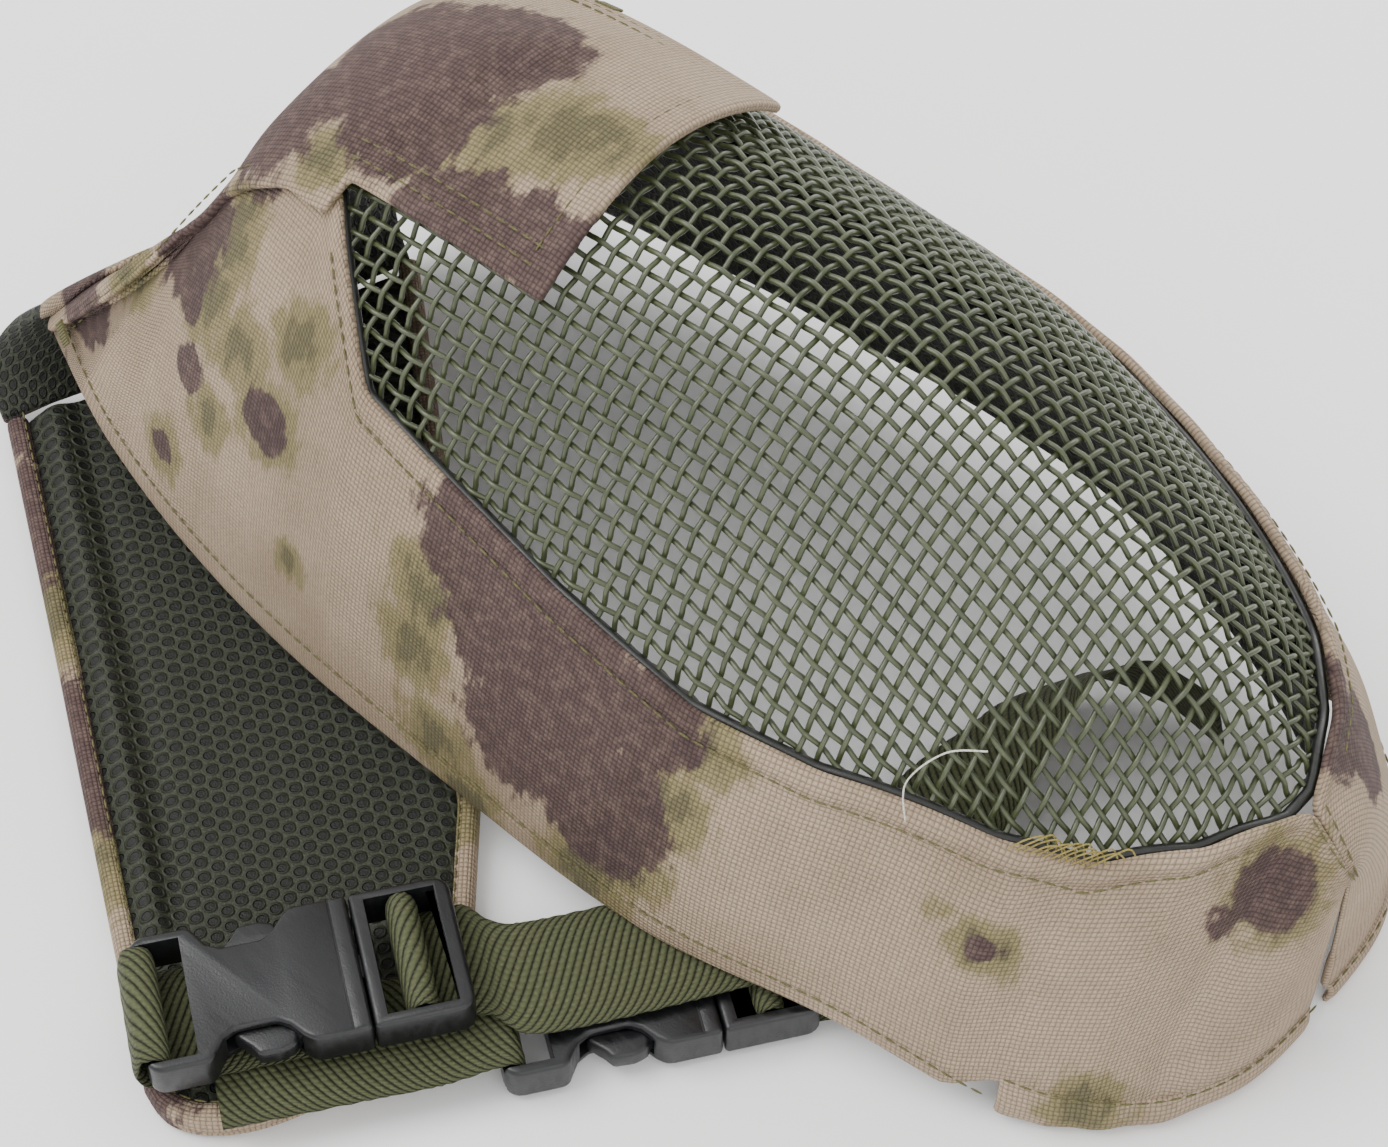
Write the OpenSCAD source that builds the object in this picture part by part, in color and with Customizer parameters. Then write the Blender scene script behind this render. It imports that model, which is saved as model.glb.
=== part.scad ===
// Full-face mesh mask with cloth side panels, a folded crown flap and two side-release buckles.
// The mask lies face up: +X runs from the forehead to the chin, +Z points out of the face.

/* [Mask shell] */
// Length of the mask from its forehead edge to the chin
mask_len = 297; // [260:1:340]
// Width over the widest part of the side panels
mask_wid = 136; // [120:1:160]
// Height reference of the face ridge
mask_high = 109; // [95:1:125]
// How far the forehead edge leans towards the chin at the ridge
forehead_rake = 75; // [60:1:90]
// Thickness of the camouflage cloth
cloth_t = 1.2; // [0.8:0.1:1.6]
// Thickness of the wire mesh layer
mesh_t = 1.4; // [1:0.1:2]
// Depth of the wire mesh under the cloth surface
mesh_depth = 2.2; // [1.8:0.1:2.6]
// Thickness of the spacer mesh lining
lining_t = 3.5; // [2.5:0.5:4.5]
// Depth of the lining under the cloth surface
lining_depth = 5; // [4.5:0.5:6]
// Thickness of the forehead foam pad
pad_t = 6; // [5:0.5:7]

/* [Crown flap] */
// Thickness of the flap's outer cloth
cover_t = 1.6; // [1:0.1:2]
// Thickness of the flap's foam
foam_t = 3.6; // [2.5:0.1:4]
// Thickness of the flap's spacer mesh
flap_lining_t = 1.8; // [1.5:0.1:2]
// Width of the cloth binding round the flap
binding_w = 2.8; // [2:0.2:4]
// Thickness of the cloth yoke between forehead and flap
yoke_t = 3.4; // [2.5:0.1:3.5]

/* [Webbing and buckles] */
// Width of the elastic webbing
web_w = 24; // [20:1:26]
// Thickness of the elastic webbing
web_t = 1.2; // [1:0.1:1.4]
// Length of a closed buckle
buckle_len = 58; // [54:1:62]
// Thickness of a buckle
buckle_t = 8; // [7.5:0.1:8.2]
// Running clearance between plug and body
buckle_gap = 0.35; // [0.3:0.05:0.5]

/* [Hidden] */

camo = [0.62, 0.53, 0.42];
olive = [0.27, 0.30, 0.17];
dark = [0.10, 0.11, 0.09];
black = [0.13, 0.13, 0.14];

gap = 0.3;              // clearance between neighbouring soft layers
lap = 0.8;              // height of the forehead piece's hem over the cloth under it
centre = [149.81, -40.69, 0]; // plan centre of the whole resting outline, which becomes the origin

// Shape along the mask: share of length, half width, ridge height, rim height, fullness of the arch
STATIONS = [
    [0.00, 0.70, 0.79, 0.22, 2.15],
    [0.13, 0.83, 0.88, 0.12, 2.10],
    [0.32, 0.99, 1.04, 0.09, 1.95],
    [0.51, 1.05, 1.05, 0.10, 1.85],
    [0.67, 1.06, 1.02, 0.11, 1.75],
    [0.80, 0.94, 0.88, 0.105, 1.70],
    [0.90, 0.81, 0.70, 0.02, 1.70],
    [1.00, 0.64, 0.40, 0.00, 1.70]
];
// Half width of the opening in the cloth, as a share of the arch: hem at the forehead, then window
OPENING = [
    [0.00, 0.97], [0.03, 0.72], [0.07, 0.48], [0.15, 0.36], [0.26, 0.31], [0.31, 0.32],
    [0.39, 0.54], [0.47, 0.57], [0.56, 0.60], [0.67, 0.62], [0.75, 0.60], [0.85, 0.53],
    [0.90, 0.46], [0.94, 0.31], [0.96, 0.14], [0.97, 0.00], [1.00, 0.00]
];
window_start = 0.29;    // share of length where the wire mesh begins, under the forehead tab
window_end = 0.962;     // share of length where the wire mesh ends at the chin
tab_end = 0.475;        // share of length where the forehead tab ends
tab_half = 0.31;        // half width of the forehead tab, as a share of the arch
corner_trim = 17;       // how far the front corners of the rim are drawn towards the chin
chin_round = 0.86;      // share of length where the chin starts to close
hem_top = 0.89;         // height of the chin hem, as a share of the arch
trim_grow = 1.07;       // outer edge of the mesh trim against its inner edge
seam = 0.006;           // half width left open along the chin's centre seam

function slope(t, j, k) =
    let (a = max(j - 1, 0), b = min(j + 1, len(t) - 1)) (t[b][k] - t[a][k]) / (t[b][0] - t[a][0]);
function span_of(t, f, i = 0) = (i >= len(t) - 2 || f <= t[i + 1][0]) ? i : span_of(t, f, i + 1);
function smooth(t, f, k) =
    let (
        i = span_of(t, f),
        h = t[i + 1][0] - t[i][0],
        s = (f - t[i][0]) / h
    )
    (2 * s * s * s - 3 * s * s + 1) * t[i][k] + (s * s * s - 2 * s * s + s) * h * slope(t, i, k)
    + (3 * s * s - 2 * s * s * s) * t[i + 1][k] + (s * s * s - s * s) * h * slope(t, i + 1, k);
function chin_close(f) =
    f <= chin_round ? 1 : max(0.06, pow(max(0, 1 - pow((f - chin_round) / (1 - chin_round), 3)), 1 / 3));
// Rows that follow the closing chin evenly, from share of length a to the chin's end
function chin_rows(a, n) =
    let (u = (a - chin_round) / (1 - chin_round), t0 = asin(pow(u, 1.5)) / 90)
    [for (i = [0:n]) chin_round + (1 - chin_round) * pow(sin(90 * mix(t0, 1, i / n)), 2 / 3)];
// Point of the mask's skin: f along the mask, v across it from rim to rim, d below the surface
function skin(f, v, d = 0) =
    let (
        w = smooth(STATIONS, f, 1) * mask_wid / 2 * chin_close(f) - d,
        top = smooth(STATIONS, f, 2) * mask_high - d,
        rim = smooth(STATIONS, f, 3) * mask_high,
        n = smooth(STATIONS, f, 4),
        s = sin(90 * v),
        c = cos(90 * v)
    )
    [
        (mask_len - d) * f + forehead_rake * c * pow(max(0, 1 - f / 0.35), 2)
            + corner_trim * (1 - c) * pow(max(0, 1 - f / 0.25), 2)
            + 2 * d * c * max(0, 1 - f / 0.25), // layers step back along X where the forehead stands steep
        w * sign(s) * pow(abs(s), 2 / n),
        rim + (top - rim) * pow(abs(c), 2 / n)
    ] - centre;
function opening(f) = lookup(f, OPENING);
function mix(a, b, s) = a + (b - a) * s;
function steps(a, b, n) = [for (i = [0:n]) mix(a, b, i / n)];

// Closed slab between two point grids of rows x cols, joined round its edges
module slab(upper, lower, rows, cols, ring = false) {
    m = rows * cols;
    last = ring ? rows - 1 : rows - 2;
    function at(i, j) = (i % rows) * cols + j;
    polyhedron(
        points = concat(upper, lower),
        faces = concat(
            [for (i = [0:last], j = [0:cols - 2]) [at(i, j), at(i + 1, j), at(i + 1, j + 1)]],
            [for (i = [0:last], j = [0:cols - 2]) [at(i, j), at(i + 1, j + 1), at(i, j + 1)]],
            [for (i = [0:last], j = [0:cols - 2]) [m + at(i, j), m + at(i + 1, j + 1), m + at(i + 1, j)]],
            [for (i = [0:last], j = [0:cols - 2]) [m + at(i, j), m + at(i, j + 1), m + at(i + 1, j + 1)]],
            [for (i = [0:last]) [at(i, 0), m + at(i + 1, 0), at(i + 1, 0)]],
            [for (i = [0:last]) [at(i, 0), m + at(i, 0), m + at(i + 1, 0)]],
            [for (i = [0:last]) [at(i, cols - 1), at(i + 1, cols - 1), m + at(i + 1, cols - 1)]],
            [for (i = [0:last]) [at(i, cols - 1), m + at(i + 1, cols - 1), m + at(i, cols - 1)]],
            ring ? [] : [for (j = [0:cols - 2]) [at(0, j), at(0, j + 1), m + at(0, j + 1)]],
            ring ? [] : [for (j = [0:cols - 2]) [at(0, j), m + at(0, j + 1), m + at(0, j)]],
            ring ? [] : [for (j = [0:cols - 2])
                [at(rows - 1, j), m + at(rows - 1, j + 1), at(rows - 1, j + 1)]],
            ring ? [] : [for (j = [0:cols - 2])
                [at(rows - 1, j), m + at(rows - 1, j), m + at(rows - 1, j + 1)]]
        )
    );
}

// Piece of the skin for each f in fs, from va(i) to vb(i), between depths d0 and d1
module patch(fs, va, vb, cols, d0, d1) {
    grid0 = [for (i = [0:len(fs) - 1], j = [0:cols]) skin(fs[i], mix(va[i], vb[i], j / cols), d0)];
    grid1 = [for (i = [0:len(fs) - 1], j = [0:cols]) skin(fs[i], mix(va[i], vb[i], j / cols), d1)];
    slab(grid1, grid0, len(fs), cols + 1);
}

module face_mesh() {
    fs = steps(window_start, window_end, 26);
    half = [for (f = fs) max(opening(f) - 0.012, 0.05)];
    color(olive) patch(fs, -half, half, 18, mesh_depth, mesh_depth + mesh_t);
}

module mesh_edge_trim() {
    fs = steps(window_start, window_end, 24);
    near = [for (f = fs) [f, -max(opening(f), 0.06)]];
    far = [for (i = [len(fs) - 1:-1:0]) [fs[i], max(opening(fs[i]), 0.06)]];
    across = [for (k = [1:5]) [window_start - 0.002, mix(opening(window_start), -opening(window_start), k / 6)]];
    loop = concat(near, far, across);
    mid = (window_start + window_end) / 2;
    function grow(p) = [min(mid + (p[0] - mid) * 1.03, 0.985), p[1] * trim_grow];
    upper = [for (p = loop, e = [0, 1]) e == 0 ? skin(p[0], p[1], mesh_depth)
        : skin(grow(p)[0], grow(p)[1], mesh_depth)];
    lower = [for (p = loop, e = [0, 1]) e == 0 ? skin(p[0], p[1], mesh_depth + mesh_t)
        : skin(grow(p)[0], grow(p)[1], mesh_depth + mesh_t)];
    color(black) slab(upper, lower, len(loop), 2, true);
}

hem_start = 0.895;      // share of length where the chin hem begins
function panel_rows() = concat(steps(0, 0.87, 23), chin_rows(hem_start - 0.002, 11));
function panel_foot(f) = f < 0.89 ? 1 : hem_top - 0.012;
module side_panel(side) {
    fs = panel_rows();
    low = [for (f = fs) -panel_foot(f)];
    high = [for (f = fs) -max(opening(f), seam)];
    mirror([0, side < 0 ? 0 : 1, 0])
        translate([0, side < 0 ? 0 : 2 * centre[1], 0])
            patch(fs, low, high, 10, 0, cloth_t);
}
module near_side_panel() {
    color(camo) side_panel(-1);
}
module far_side_panel() {
    color(camo) side_panel(1);
}

module chin_hem(side) {
    fs = chin_rows(hem_start, 10);
    low = [for (f = fs) -1];
    high = [for (f = fs) -hem_top];
    mirror([0, side < 0 ? 0 : 1, 0])
        translate([0, side < 0 ? 0 : 2 * centre[1], 0])
            patch(fs, low, high, 2, 0, cloth_t);
}
module chin_hem_near() {
    color(camo) chin_hem(-1);
}
module chin_hem_far() {
    color(camo) chin_hem(1);
}

module forehead_panel() {
    fs = concat(steps(0, 0.3, 14), steps(0.315, tab_end, 7));
    half = [for (f = fs) f > 0.31 ? tab_half : min(1, opening(f) + 0.05)];
    color(camo) patch(fs, -half, half, 20, -lap - cloth_t, -lap);
}

module lining(side) {
    fs = steps(0.06, 0.92, 20);
    low = [for (f = fs) -0.95];
    high = [for (f = fs) -min(opening(f) + 0.1, 0.85)];
    mirror([0, side < 0 ? 0 : 1, 0])
        translate([0, side < 0 ? 0 : 2 * centre[1], 0])
            patch(fs, low, high, 6, lining_depth, lining_depth + lining_t);
}
module near_lining() {
    color(dark) lining(-1);
}
module far_lining() {
    color(dark) lining(1);
}

module forehead_pad() {
    fs = steps(0.17, 0.28, 6);
    half = [for (f = fs) 0.3];
    depth = mesh_depth + mesh_t + 1;
    color(dark) patch(fs, -half, half, 8, depth, depth + pad_t);
}

// Fold line of the crown flap, from its near end to its far end
fold_near = [15, -62, 0];
fold_far = [46, 27, 0];
fold_out = [-0.944, 0.329, 0];

function unit(a) = a / norm(a);
module crown_yoke() {
    cols = 8;
    rows = 16;
    bulge = [-24, 0, -8];
    function across(i) = mix(-0.96, 0.6, i / rows);
    function edge(i) = skin(0, across(i)) - unit(skin(0.04, across(i)) - skin(0, across(i))) * (yoke_t / 2 + 1.2);
    function foot(i) = mix(fold_near, fold_far, i / rows) - centre + fold_out * (yoke_t / 2 + 1.7) + [0, 0, 2];
    function mid(i, s) =
        (1 - s) * (1 - s) * edge(i) + s * s * foot(i) + 2 * s * (1 - s) * ((edge(i) + foot(i)) / 2 + bulge);
    function face(i, s) = unit(cross(mid(i + 0.1, s) - mid(i - 0.1, s), mid(i, s + 0.02) - mid(i, s - 0.02)));
    outer = [for (i = [0:rows], j = [0:cols]) mid(i, j / cols) + face(i, j / cols) * yoke_t / 2];
    inner = [for (i = [0:rows], j = [0:cols]) mid(i, j / cols) - face(i, j / cols) * yoke_t / 2];
    color(camo) slab(inner, outer, rows + 1, cols + 1);
}

// Outline of the crown flap on the surface that it lies on
FLAP = [
    [15, -62], [66, -95], [130, -137], [150, -150], [160, -152], [169, -148], [177, -137],
    [181, -120], [178, -100], [172, -88], [154, -68], [87, -8], [46, 27]
];
module flap_plan(inset = 0) {
    translate([-centre[0], -centre[1]]) offset(delta = -inset) polygon(FLAP);
}
lining_z = cover_t + 0.1 + foam_t + 0.1;
flap_top = lining_z + flap_lining_t;
module flap_cover() {
    color(camo) linear_extrude(cover_t) flap_plan();
}
module flap_foam() {
    color(dark) translate([0, 0, cover_t + 0.1]) linear_extrude(foam_t) flap_plan(binding_w + gap);
}
module flap_lining() {
    color(dark) translate([0, 0, lining_z]) linear_extrude(flap_lining_t) flap_plan(binding_w + gap);
}
module flap_binding() {
    color(camo)
        translate([0, 0, cover_t + 0.1])
            linear_extrude(flap_top - cover_t - 0.1)
                difference() {
                    flap_plan();
                    flap_plan(binding_w);
                }
}

// Side-release buckles, each lying along its own X axis from the body's bar to the plug's end rail
buckle_turn = 55;
buckle_one_at = [162.4, -121.5, flap_top + 2 * web_t + 1.2];
buckle_two_end = [188.366, -101.355, 0.8]; // outer end of buckle two's body, beside the flap
buckle_dir = [cos(buckle_turn), sin(buckle_turn), 0];
buckle_two_at = buckle_two_end + buckle_dir * buckle_len / 2;
rail_w = 1.9;                    // side rail beside the webbing
slot_half = web_w / 2 + 0.3;     // half width of a webbing slot
buckle_half = slot_half + rail_w;
body_x = -buckle_len / 2;        // outer end of the body
plug_x = buckle_len / 2;         // outer end of the plug
bar_w = 2.8;                     // width of each webbing bar
frame_w = 3;                     // width of the plug's frame beside the body
bar_low = 1.4;                   // clear height under a webbing bar
bar_high = buckle_t - 1.6;       // top of a webbing bar
body_slot = 6.4;                 // webbing slot in the body
neck_x = body_x + bar_w + body_slot + 3; // where the body narrows to show the release arms
split_x = 10.5;                  // where the plug's frame meets the body
grip_x = split_x - 11;           // where the body widens again
neck_half = 8.6;                 // half width of the body's narrow part
cavity_x = neck_x + 2;           // closed end of the body's socket
cavity_half = buckle_half - 2;
cavity_low = 1.7;
cavity_high = buckle_t - 1.7;
plug_slot = (plug_x - split_x - frame_w - 2 * bar_w) / 2; // each of the plug's two webbing slots
plug_bar_x = split_x + frame_w + plug_slot;               // start of the plug's middle bar

module place_buckle(at) {
    translate(at - centre) rotate([0, 0, buckle_turn]) children();
}
module body_outline() {
    r = 2.2;
    translate([body_x + r, -buckle_half]) square([neck_x - body_x - 2 * r, 2 * buckle_half]);
    translate([body_x, r - buckle_half]) square([neck_x - body_x, 2 * buckle_half - 2 * r]);
    for (x = [body_x + r, neck_x - r], y = [r - buckle_half, buckle_half - r])
        translate([x, y]) circle(r, $fn = 24);
    polygon([
        [neck_x - 1, -buckle_half + r], [neck_x + 3, -neck_half], [grip_x - 4, -neck_half],
        [grip_x, -buckle_half], [split_x, -buckle_half], [split_x, buckle_half],
        [grip_x, buckle_half], [grip_x - 4, neck_half], [neck_x + 3, neck_half],
        [neck_x - 1, buckle_half - r]
    ]);
}
module buckle_body() {
    color(black) difference() {
        linear_extrude(buckle_t) body_outline();
        translate([body_x + bar_w, -slot_half, -1]) cube([body_slot, 2 * slot_half, buckle_t + 2]);
        translate([body_x - 1, -slot_half, -1]) cube([bar_w + 2, 2 * slot_half, bar_low + 1]);
        translate([body_x - 1, -slot_half, bar_high]) cube([bar_w + 2, 2 * slot_half, buckle_t]);
        translate([cavity_x, -cavity_half, cavity_low])
            cube([split_x - cavity_x + 1, 2 * cavity_half, cavity_high - cavity_low]);
    }
}
module buckle_plug() {
    reach = cavity_x + 3;
    start = split_x + buckle_gap;
    color(black) {
        difference() {
            translate([start, -buckle_half, 0]) cube([plug_x - start, 2 * buckle_half, buckle_t]);
            for (x = [split_x + frame_w, plug_bar_x + bar_w])
                translate([x, -slot_half, -1]) cube([plug_slot, 2 * slot_half, buckle_t + 2]);
            translate([split_x + frame_w, -slot_half, bar_high])
                cube([plug_x - split_x - frame_w - bar_w, 2 * slot_half, buckle_t]);
            for (x = [plug_bar_x - 1, plug_x - bar_w - 1])
                translate([x, -slot_half, -1]) cube([bar_w + 2, 2 * slot_half, bar_low + 1]);
        }
        translate([reach, -2.5, cavity_low + buckle_gap])
            cube([split_x + 1 - reach, 5, cavity_high - cavity_low - 2 * buckle_gap]);
    }
}
module buckle_arms() {
    tip = cavity_x + 1.2;
    low = cavity_low + buckle_gap;
    tall = cavity_high - cavity_low - 2 * buckle_gap;
    outer = cavity_half - 0.7;
    color(black) for (s = [-1, 1]) scale([1, s, 1]) translate([0, 0, low]) linear_extrude(tall)
        polygon([
            [split_x + 0.2, outer], [grip_x, outer], [grip_x - 1.8, outer], [grip_x - 2.6, buckle_half - 1],
            [tip + 3, buckle_half - 2.2], [tip, outer - 3], [tip + 2, outer - 4], [grip_x, outer - 2.8],
            [split_x + 0.2, outer - 2.8]
        ]);
}
module buckle_one_body() {
    place_buckle(buckle_one_at) buckle_body();
}
module buckle_one_plug() {
    place_buckle(buckle_one_at) buckle_plug();
}
module buckle_one_arms() {
    place_buckle(buckle_one_at) buckle_arms();
}
module buckle_two_body() {
    place_buckle(buckle_two_at) buckle_body();
}
module buckle_two_plug() {
    place_buckle(buckle_two_at) buckle_plug();
}
module buckle_two_arms() {
    place_buckle(buckle_two_at) buckle_arms();
}

// Flat webbing: each stop is the middle of the strap, its width direction and its face direction
// hand is -1 where the webbing runs back against its buckle's own direction
module webbing(stops, hand = 1) {
    function corner(p, s) = p[0] - centre + unit(p[1]) * web_w / 2 * s * hand;
    upper = [for (p = stops, s = [-1, 1]) corner(p, s) + unit(p[2]) * web_t / 2];
    lower = [for (p = stops, s = [-1, 1]) corner(p, s) - unit(p[2]) * web_t / 2];
    color(olive) slab(upper, lower, len(stops), 2);
}
along = buckle_dir;
side_of = [sin(buckle_turn), -cos(buckle_turn), 0];
up = [0, 0, 1];
web_c = web_t / 2 + gap;         // middle of a strap lying on a surface
// Stop in a buckle's frame: distance along it, height, and the face direction along and up
function stop(at, x, z, fx, fz) = [at + along * x + up * z, side_of, along * fx + up * fz];
over_bar = bar_high + web_c + 0.8;
bar_mid = plug_bar_x + bar_w / 2;
in_first = plug_bar_x - web_c;
in_second = plug_bar_x + bar_w + web_c;
// Webbing round the plug's middle bar, from its sewn end in the first slot to below the end rail
function plug_turns(at) = [
    stop(at, in_first, 0.6, -1, 0), stop(at, in_first, bar_high - 0.6, -1, 0),
    stop(at, bar_mid - 1, over_bar, -0.3, 1), stop(at, bar_mid + 1, over_bar, 0.3, 1),
    stop(at, in_second, bar_high - 0.6, 1, 0), stop(at, in_second, 2.2, 1, 0.2),
    stop(at, in_second + 1.4, bar_low - web_c, 0.4, 1)
];
// Webbing round the body's end bar, from its end in the slot to below the buckle
function body_turns(at) = [
    stop(at, body_x + bar_w + web_c, 0.6, 1, 0), stop(at, body_x + bar_w + web_c, bar_high - 0.2, 1, 0),
    stop(at, body_x + bar_w - 0.6, over_bar, 0.3, 1), stop(at, body_x - 0.6, over_bar, -0.3, 1),
    stop(at, body_x - web_c - 0.8, bar_high - 1.4, -1, 0.2), stop(at, body_x - web_c - 0.8, 2.2, -1, -0.2)
];

module strap_far() {
    over = buckle_two_at[2] + buckle_t + 4 * gap + web_c; // height of the strap where it crosses the other buckle
    webbing(concat(plug_turns(buckle_one_at), [
        stop(buckle_one_at, plug_x + 2, bar_low - web_c, 0, 1),
        [[190, -93, over + 0.4], side_of, up],
        [[208, -66, over], [sin(57), -cos(57), 0], up],
        [[220, -44, over - 0.2], [0.9, -0.42, 0], up],
        [[222, -14, 7], [0.95, -0.1, 0.1], [-0.1, -0.1, 1]],
        [[222, 8, 10], [0.8, -0.3, 0.5], [-0.55, -0.13, 0.81]],
        [[227, 24, 16], [0.4, -0.45, 0.75], [-0.7, 0.35, 0.57]],
        [[238, 31, 17], [0.1, -0.35, 0.9], [-0.25, 0.9, 0.38]],
        [[252, 31, 16], [0, -0.3, 0.95], [-0.1, 0.95, 0.3]]
    ]));
}
module strap_near() {
    webbing(concat(plug_turns(buckle_two_at), [
        stop(buckle_two_at, plug_x + 2, bar_low - web_c, 0, 1),
        stop(buckle_two_at, plug_x + 10, 2.4, -0.2, 1),
        stop(buckle_two_at, plug_x + 16, 5, -0.4, 1)
    ]));
}
module loop_one() {
    webbing(concat(body_turns(buckle_one_at), [
        stop(buckle_one_at, body_x + 1.4, -web_c, -0.2, -1),
        stop(buckle_one_at, split_x, -web_c, 0, -1)
    ]), -1);
}
module loop_two() {
    low = flap_top + web_c;
    webbing([
        stop(buckle_two_at, body_x + bar_w + web_c, 0.6, 1, 0),
        stop(buckle_two_at, body_x + bar_w + web_c, bar_high - 0.2, 1, 0),
        stop(buckle_two_at, body_x + bar_w - 0.6, over_bar, 0.3, 1),
        stop(buckle_two_at, body_x - 1.2, over_bar, 0, 1),
        [[183, -110, low], side_of, up],
        [[178, -117, low], side_of, up],
        [[160, -142, low], side_of, up]
    ], -1);
}

face_mesh();
mesh_edge_trim();
near_side_panel();
far_side_panel();
forehead_panel();
chin_hem_near();
chin_hem_far();
near_lining();
far_lining();
forehead_pad();
crown_yoke();
flap_cover();
flap_foam();
flap_lining();
flap_binding();
strap_far();
strap_near();
loop_one();
loop_two();
buckle_one_body();
buckle_one_plug();
buckle_one_arms();
buckle_two_body();
buckle_two_plug();
buckle_two_arms();
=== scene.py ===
# Camouflage mesh face mask, dressed over its CAD frame. Metres; the mask lies face up, +X to the chin.
import math
import bpy
import bmesh
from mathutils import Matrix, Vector, noise


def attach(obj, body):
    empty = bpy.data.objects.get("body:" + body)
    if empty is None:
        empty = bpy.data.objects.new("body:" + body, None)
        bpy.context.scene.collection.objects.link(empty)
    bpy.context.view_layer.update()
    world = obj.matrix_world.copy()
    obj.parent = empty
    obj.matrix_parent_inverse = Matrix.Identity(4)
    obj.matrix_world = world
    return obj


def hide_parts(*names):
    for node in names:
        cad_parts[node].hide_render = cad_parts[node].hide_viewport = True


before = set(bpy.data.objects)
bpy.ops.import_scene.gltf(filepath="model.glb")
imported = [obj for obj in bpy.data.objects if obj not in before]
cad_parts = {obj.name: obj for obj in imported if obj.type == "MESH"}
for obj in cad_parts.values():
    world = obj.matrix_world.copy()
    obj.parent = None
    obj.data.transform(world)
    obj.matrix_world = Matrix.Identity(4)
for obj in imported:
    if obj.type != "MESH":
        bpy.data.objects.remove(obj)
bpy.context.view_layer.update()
scene = bpy.context.scene

# Camera, floor and light
camera = {"at": (0.2698, -0.2712, 0.5076), "target": (-0.0223, 0.0649, -0.0325), "lens": 85}


def aim(ob, target):
    ob.rotation_euler = (Vector(target) - ob.location).to_track_quat("-Z", "Y").to_euler()


camData = bpy.data.cameras.new("camera")
camData.lens = camera["lens"]
camData.clip_start = 0.01
camOb = bpy.data.objects.new("camera", camData)
camOb.location = camera["at"]
aim(camOb, camera["target"])
scene.collection.objects.link(camOb)
scene.camera = camOb

studio = {"floor": 6.0, "world": 1.25, "keyPower": 22.0, "keySize": 1.1, "fillPower": 6.0, "rimPower": 8.0}


def areaLight(name, at, power, size, target=(0, 0, 0.04)):
    data = bpy.data.lights.new(name, "AREA")
    data.energy = power
    data.size = size
    ob = bpy.data.objects.new(name, data)
    ob.location = at
    aim(ob, target)
    scene.collection.objects.link(ob)


areaLight("keyLight", (-0.7, -0.5, 1.3), studio["keyPower"], studio["keySize"])
areaLight("fillLight", (1.0, -0.6, 0.8), studio["fillPower"], 1.2)
areaLight("rimLight", (-0.1, 1.1, 0.7), studio["rimPower"], 0.9)
world = bpy.data.worlds.new("studio")
scene.world = world
world.use_nodes = True
world.node_tree.nodes["Background"].inputs["Color"].default_value = (1, 1, 1, 1)
world.node_tree.nodes["Background"].inputs["Strength"].default_value = studio["world"]


# Material helpers
def link(tree, a, b):
    tree.links.new(a, b)


# A node with its settings; each input takes a value or another node's output
def addNode(tree, kind, inputs=None, **settings):
    node = tree.nodes.new(kind)
    for key, value in settings.items():
        setattr(node, key, value)
    for key, value in (inputs or {}).items():
        if isinstance(value, bpy.types.NodeSocket):
            link(tree, value, node.inputs[key])
        else:
            node.inputs[key].default_value = value
    return node


def mathNode(tree, op, a, b=None, c=None):
    inputs = {k: value for k, value in enumerate((a, b, c)) if value is not None}
    return addNode(tree, "ShaderNodeMath", inputs, operation=op).outputs[0]


def times(tree, a, b):
    return mathNode(tree, "MULTIPLY", a, b)


def plus(tree, a, b):
    return mathNode(tree, "ADD", a, b)


def mapNode(tree, value, a, b, c=0.0, d=1.0, smoothed=True):
    inputs = {"Value": value, "From Min": a, "From Max": b, "To Min": c, "To Max": d}
    kind = "SMOOTHSTEP" if smoothed else "LINEAR"
    return addNode(tree, "ShaderNodeMapRange", inputs, interpolation_type=kind).outputs["Result"]


def mixColor(tree, factor, *colors):
    inputs = {0: factor}
    for k, value in zip((6, 7), colors):
        inputs[k] = (*value[:3], 1) if isinstance(value, (tuple, list)) else value
    return addNode(tree, "ShaderNodeMix", inputs, data_type="RGBA").outputs[2]


def noiseNode(tree, vector, scale, detail=3.0, rough=0.55):
    inputs = {"Vector": vector, "Scale": scale, "Detail": detail, "Roughness": rough}
    return addNode(tree, "ShaderNodeTexNoise", inputs).outputs["Fac"]


def stretched(tree, vector, scale):
    return addNode(tree, "ShaderNodeMapping", {"Vector": vector, "Scale": scale}).outputs["Vector"]


def scaledVector(tree, vector, factor):
    return addNode(tree, "ShaderNodeVectorMath", {0: vector, "Scale": factor}, operation="SCALE").outputs[0]


def newGroup(name, inputs, outputs):
    tree = bpy.data.node_groups.new(name, "ShaderNodeTree")
    for label, kind, default in inputs:
        socket = tree.interface.new_socket(name=label, in_out="INPUT", socket_type=kind)
        if default is not None:
            socket.default_value = default
    for label, kind in outputs:
        tree.interface.new_socket(name=label, in_out="OUTPUT", socket_type=kind)
    return tree, tree.nodes.new("NodeGroupInput"), tree.nodes.new("NodeGroupOutput")


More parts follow.
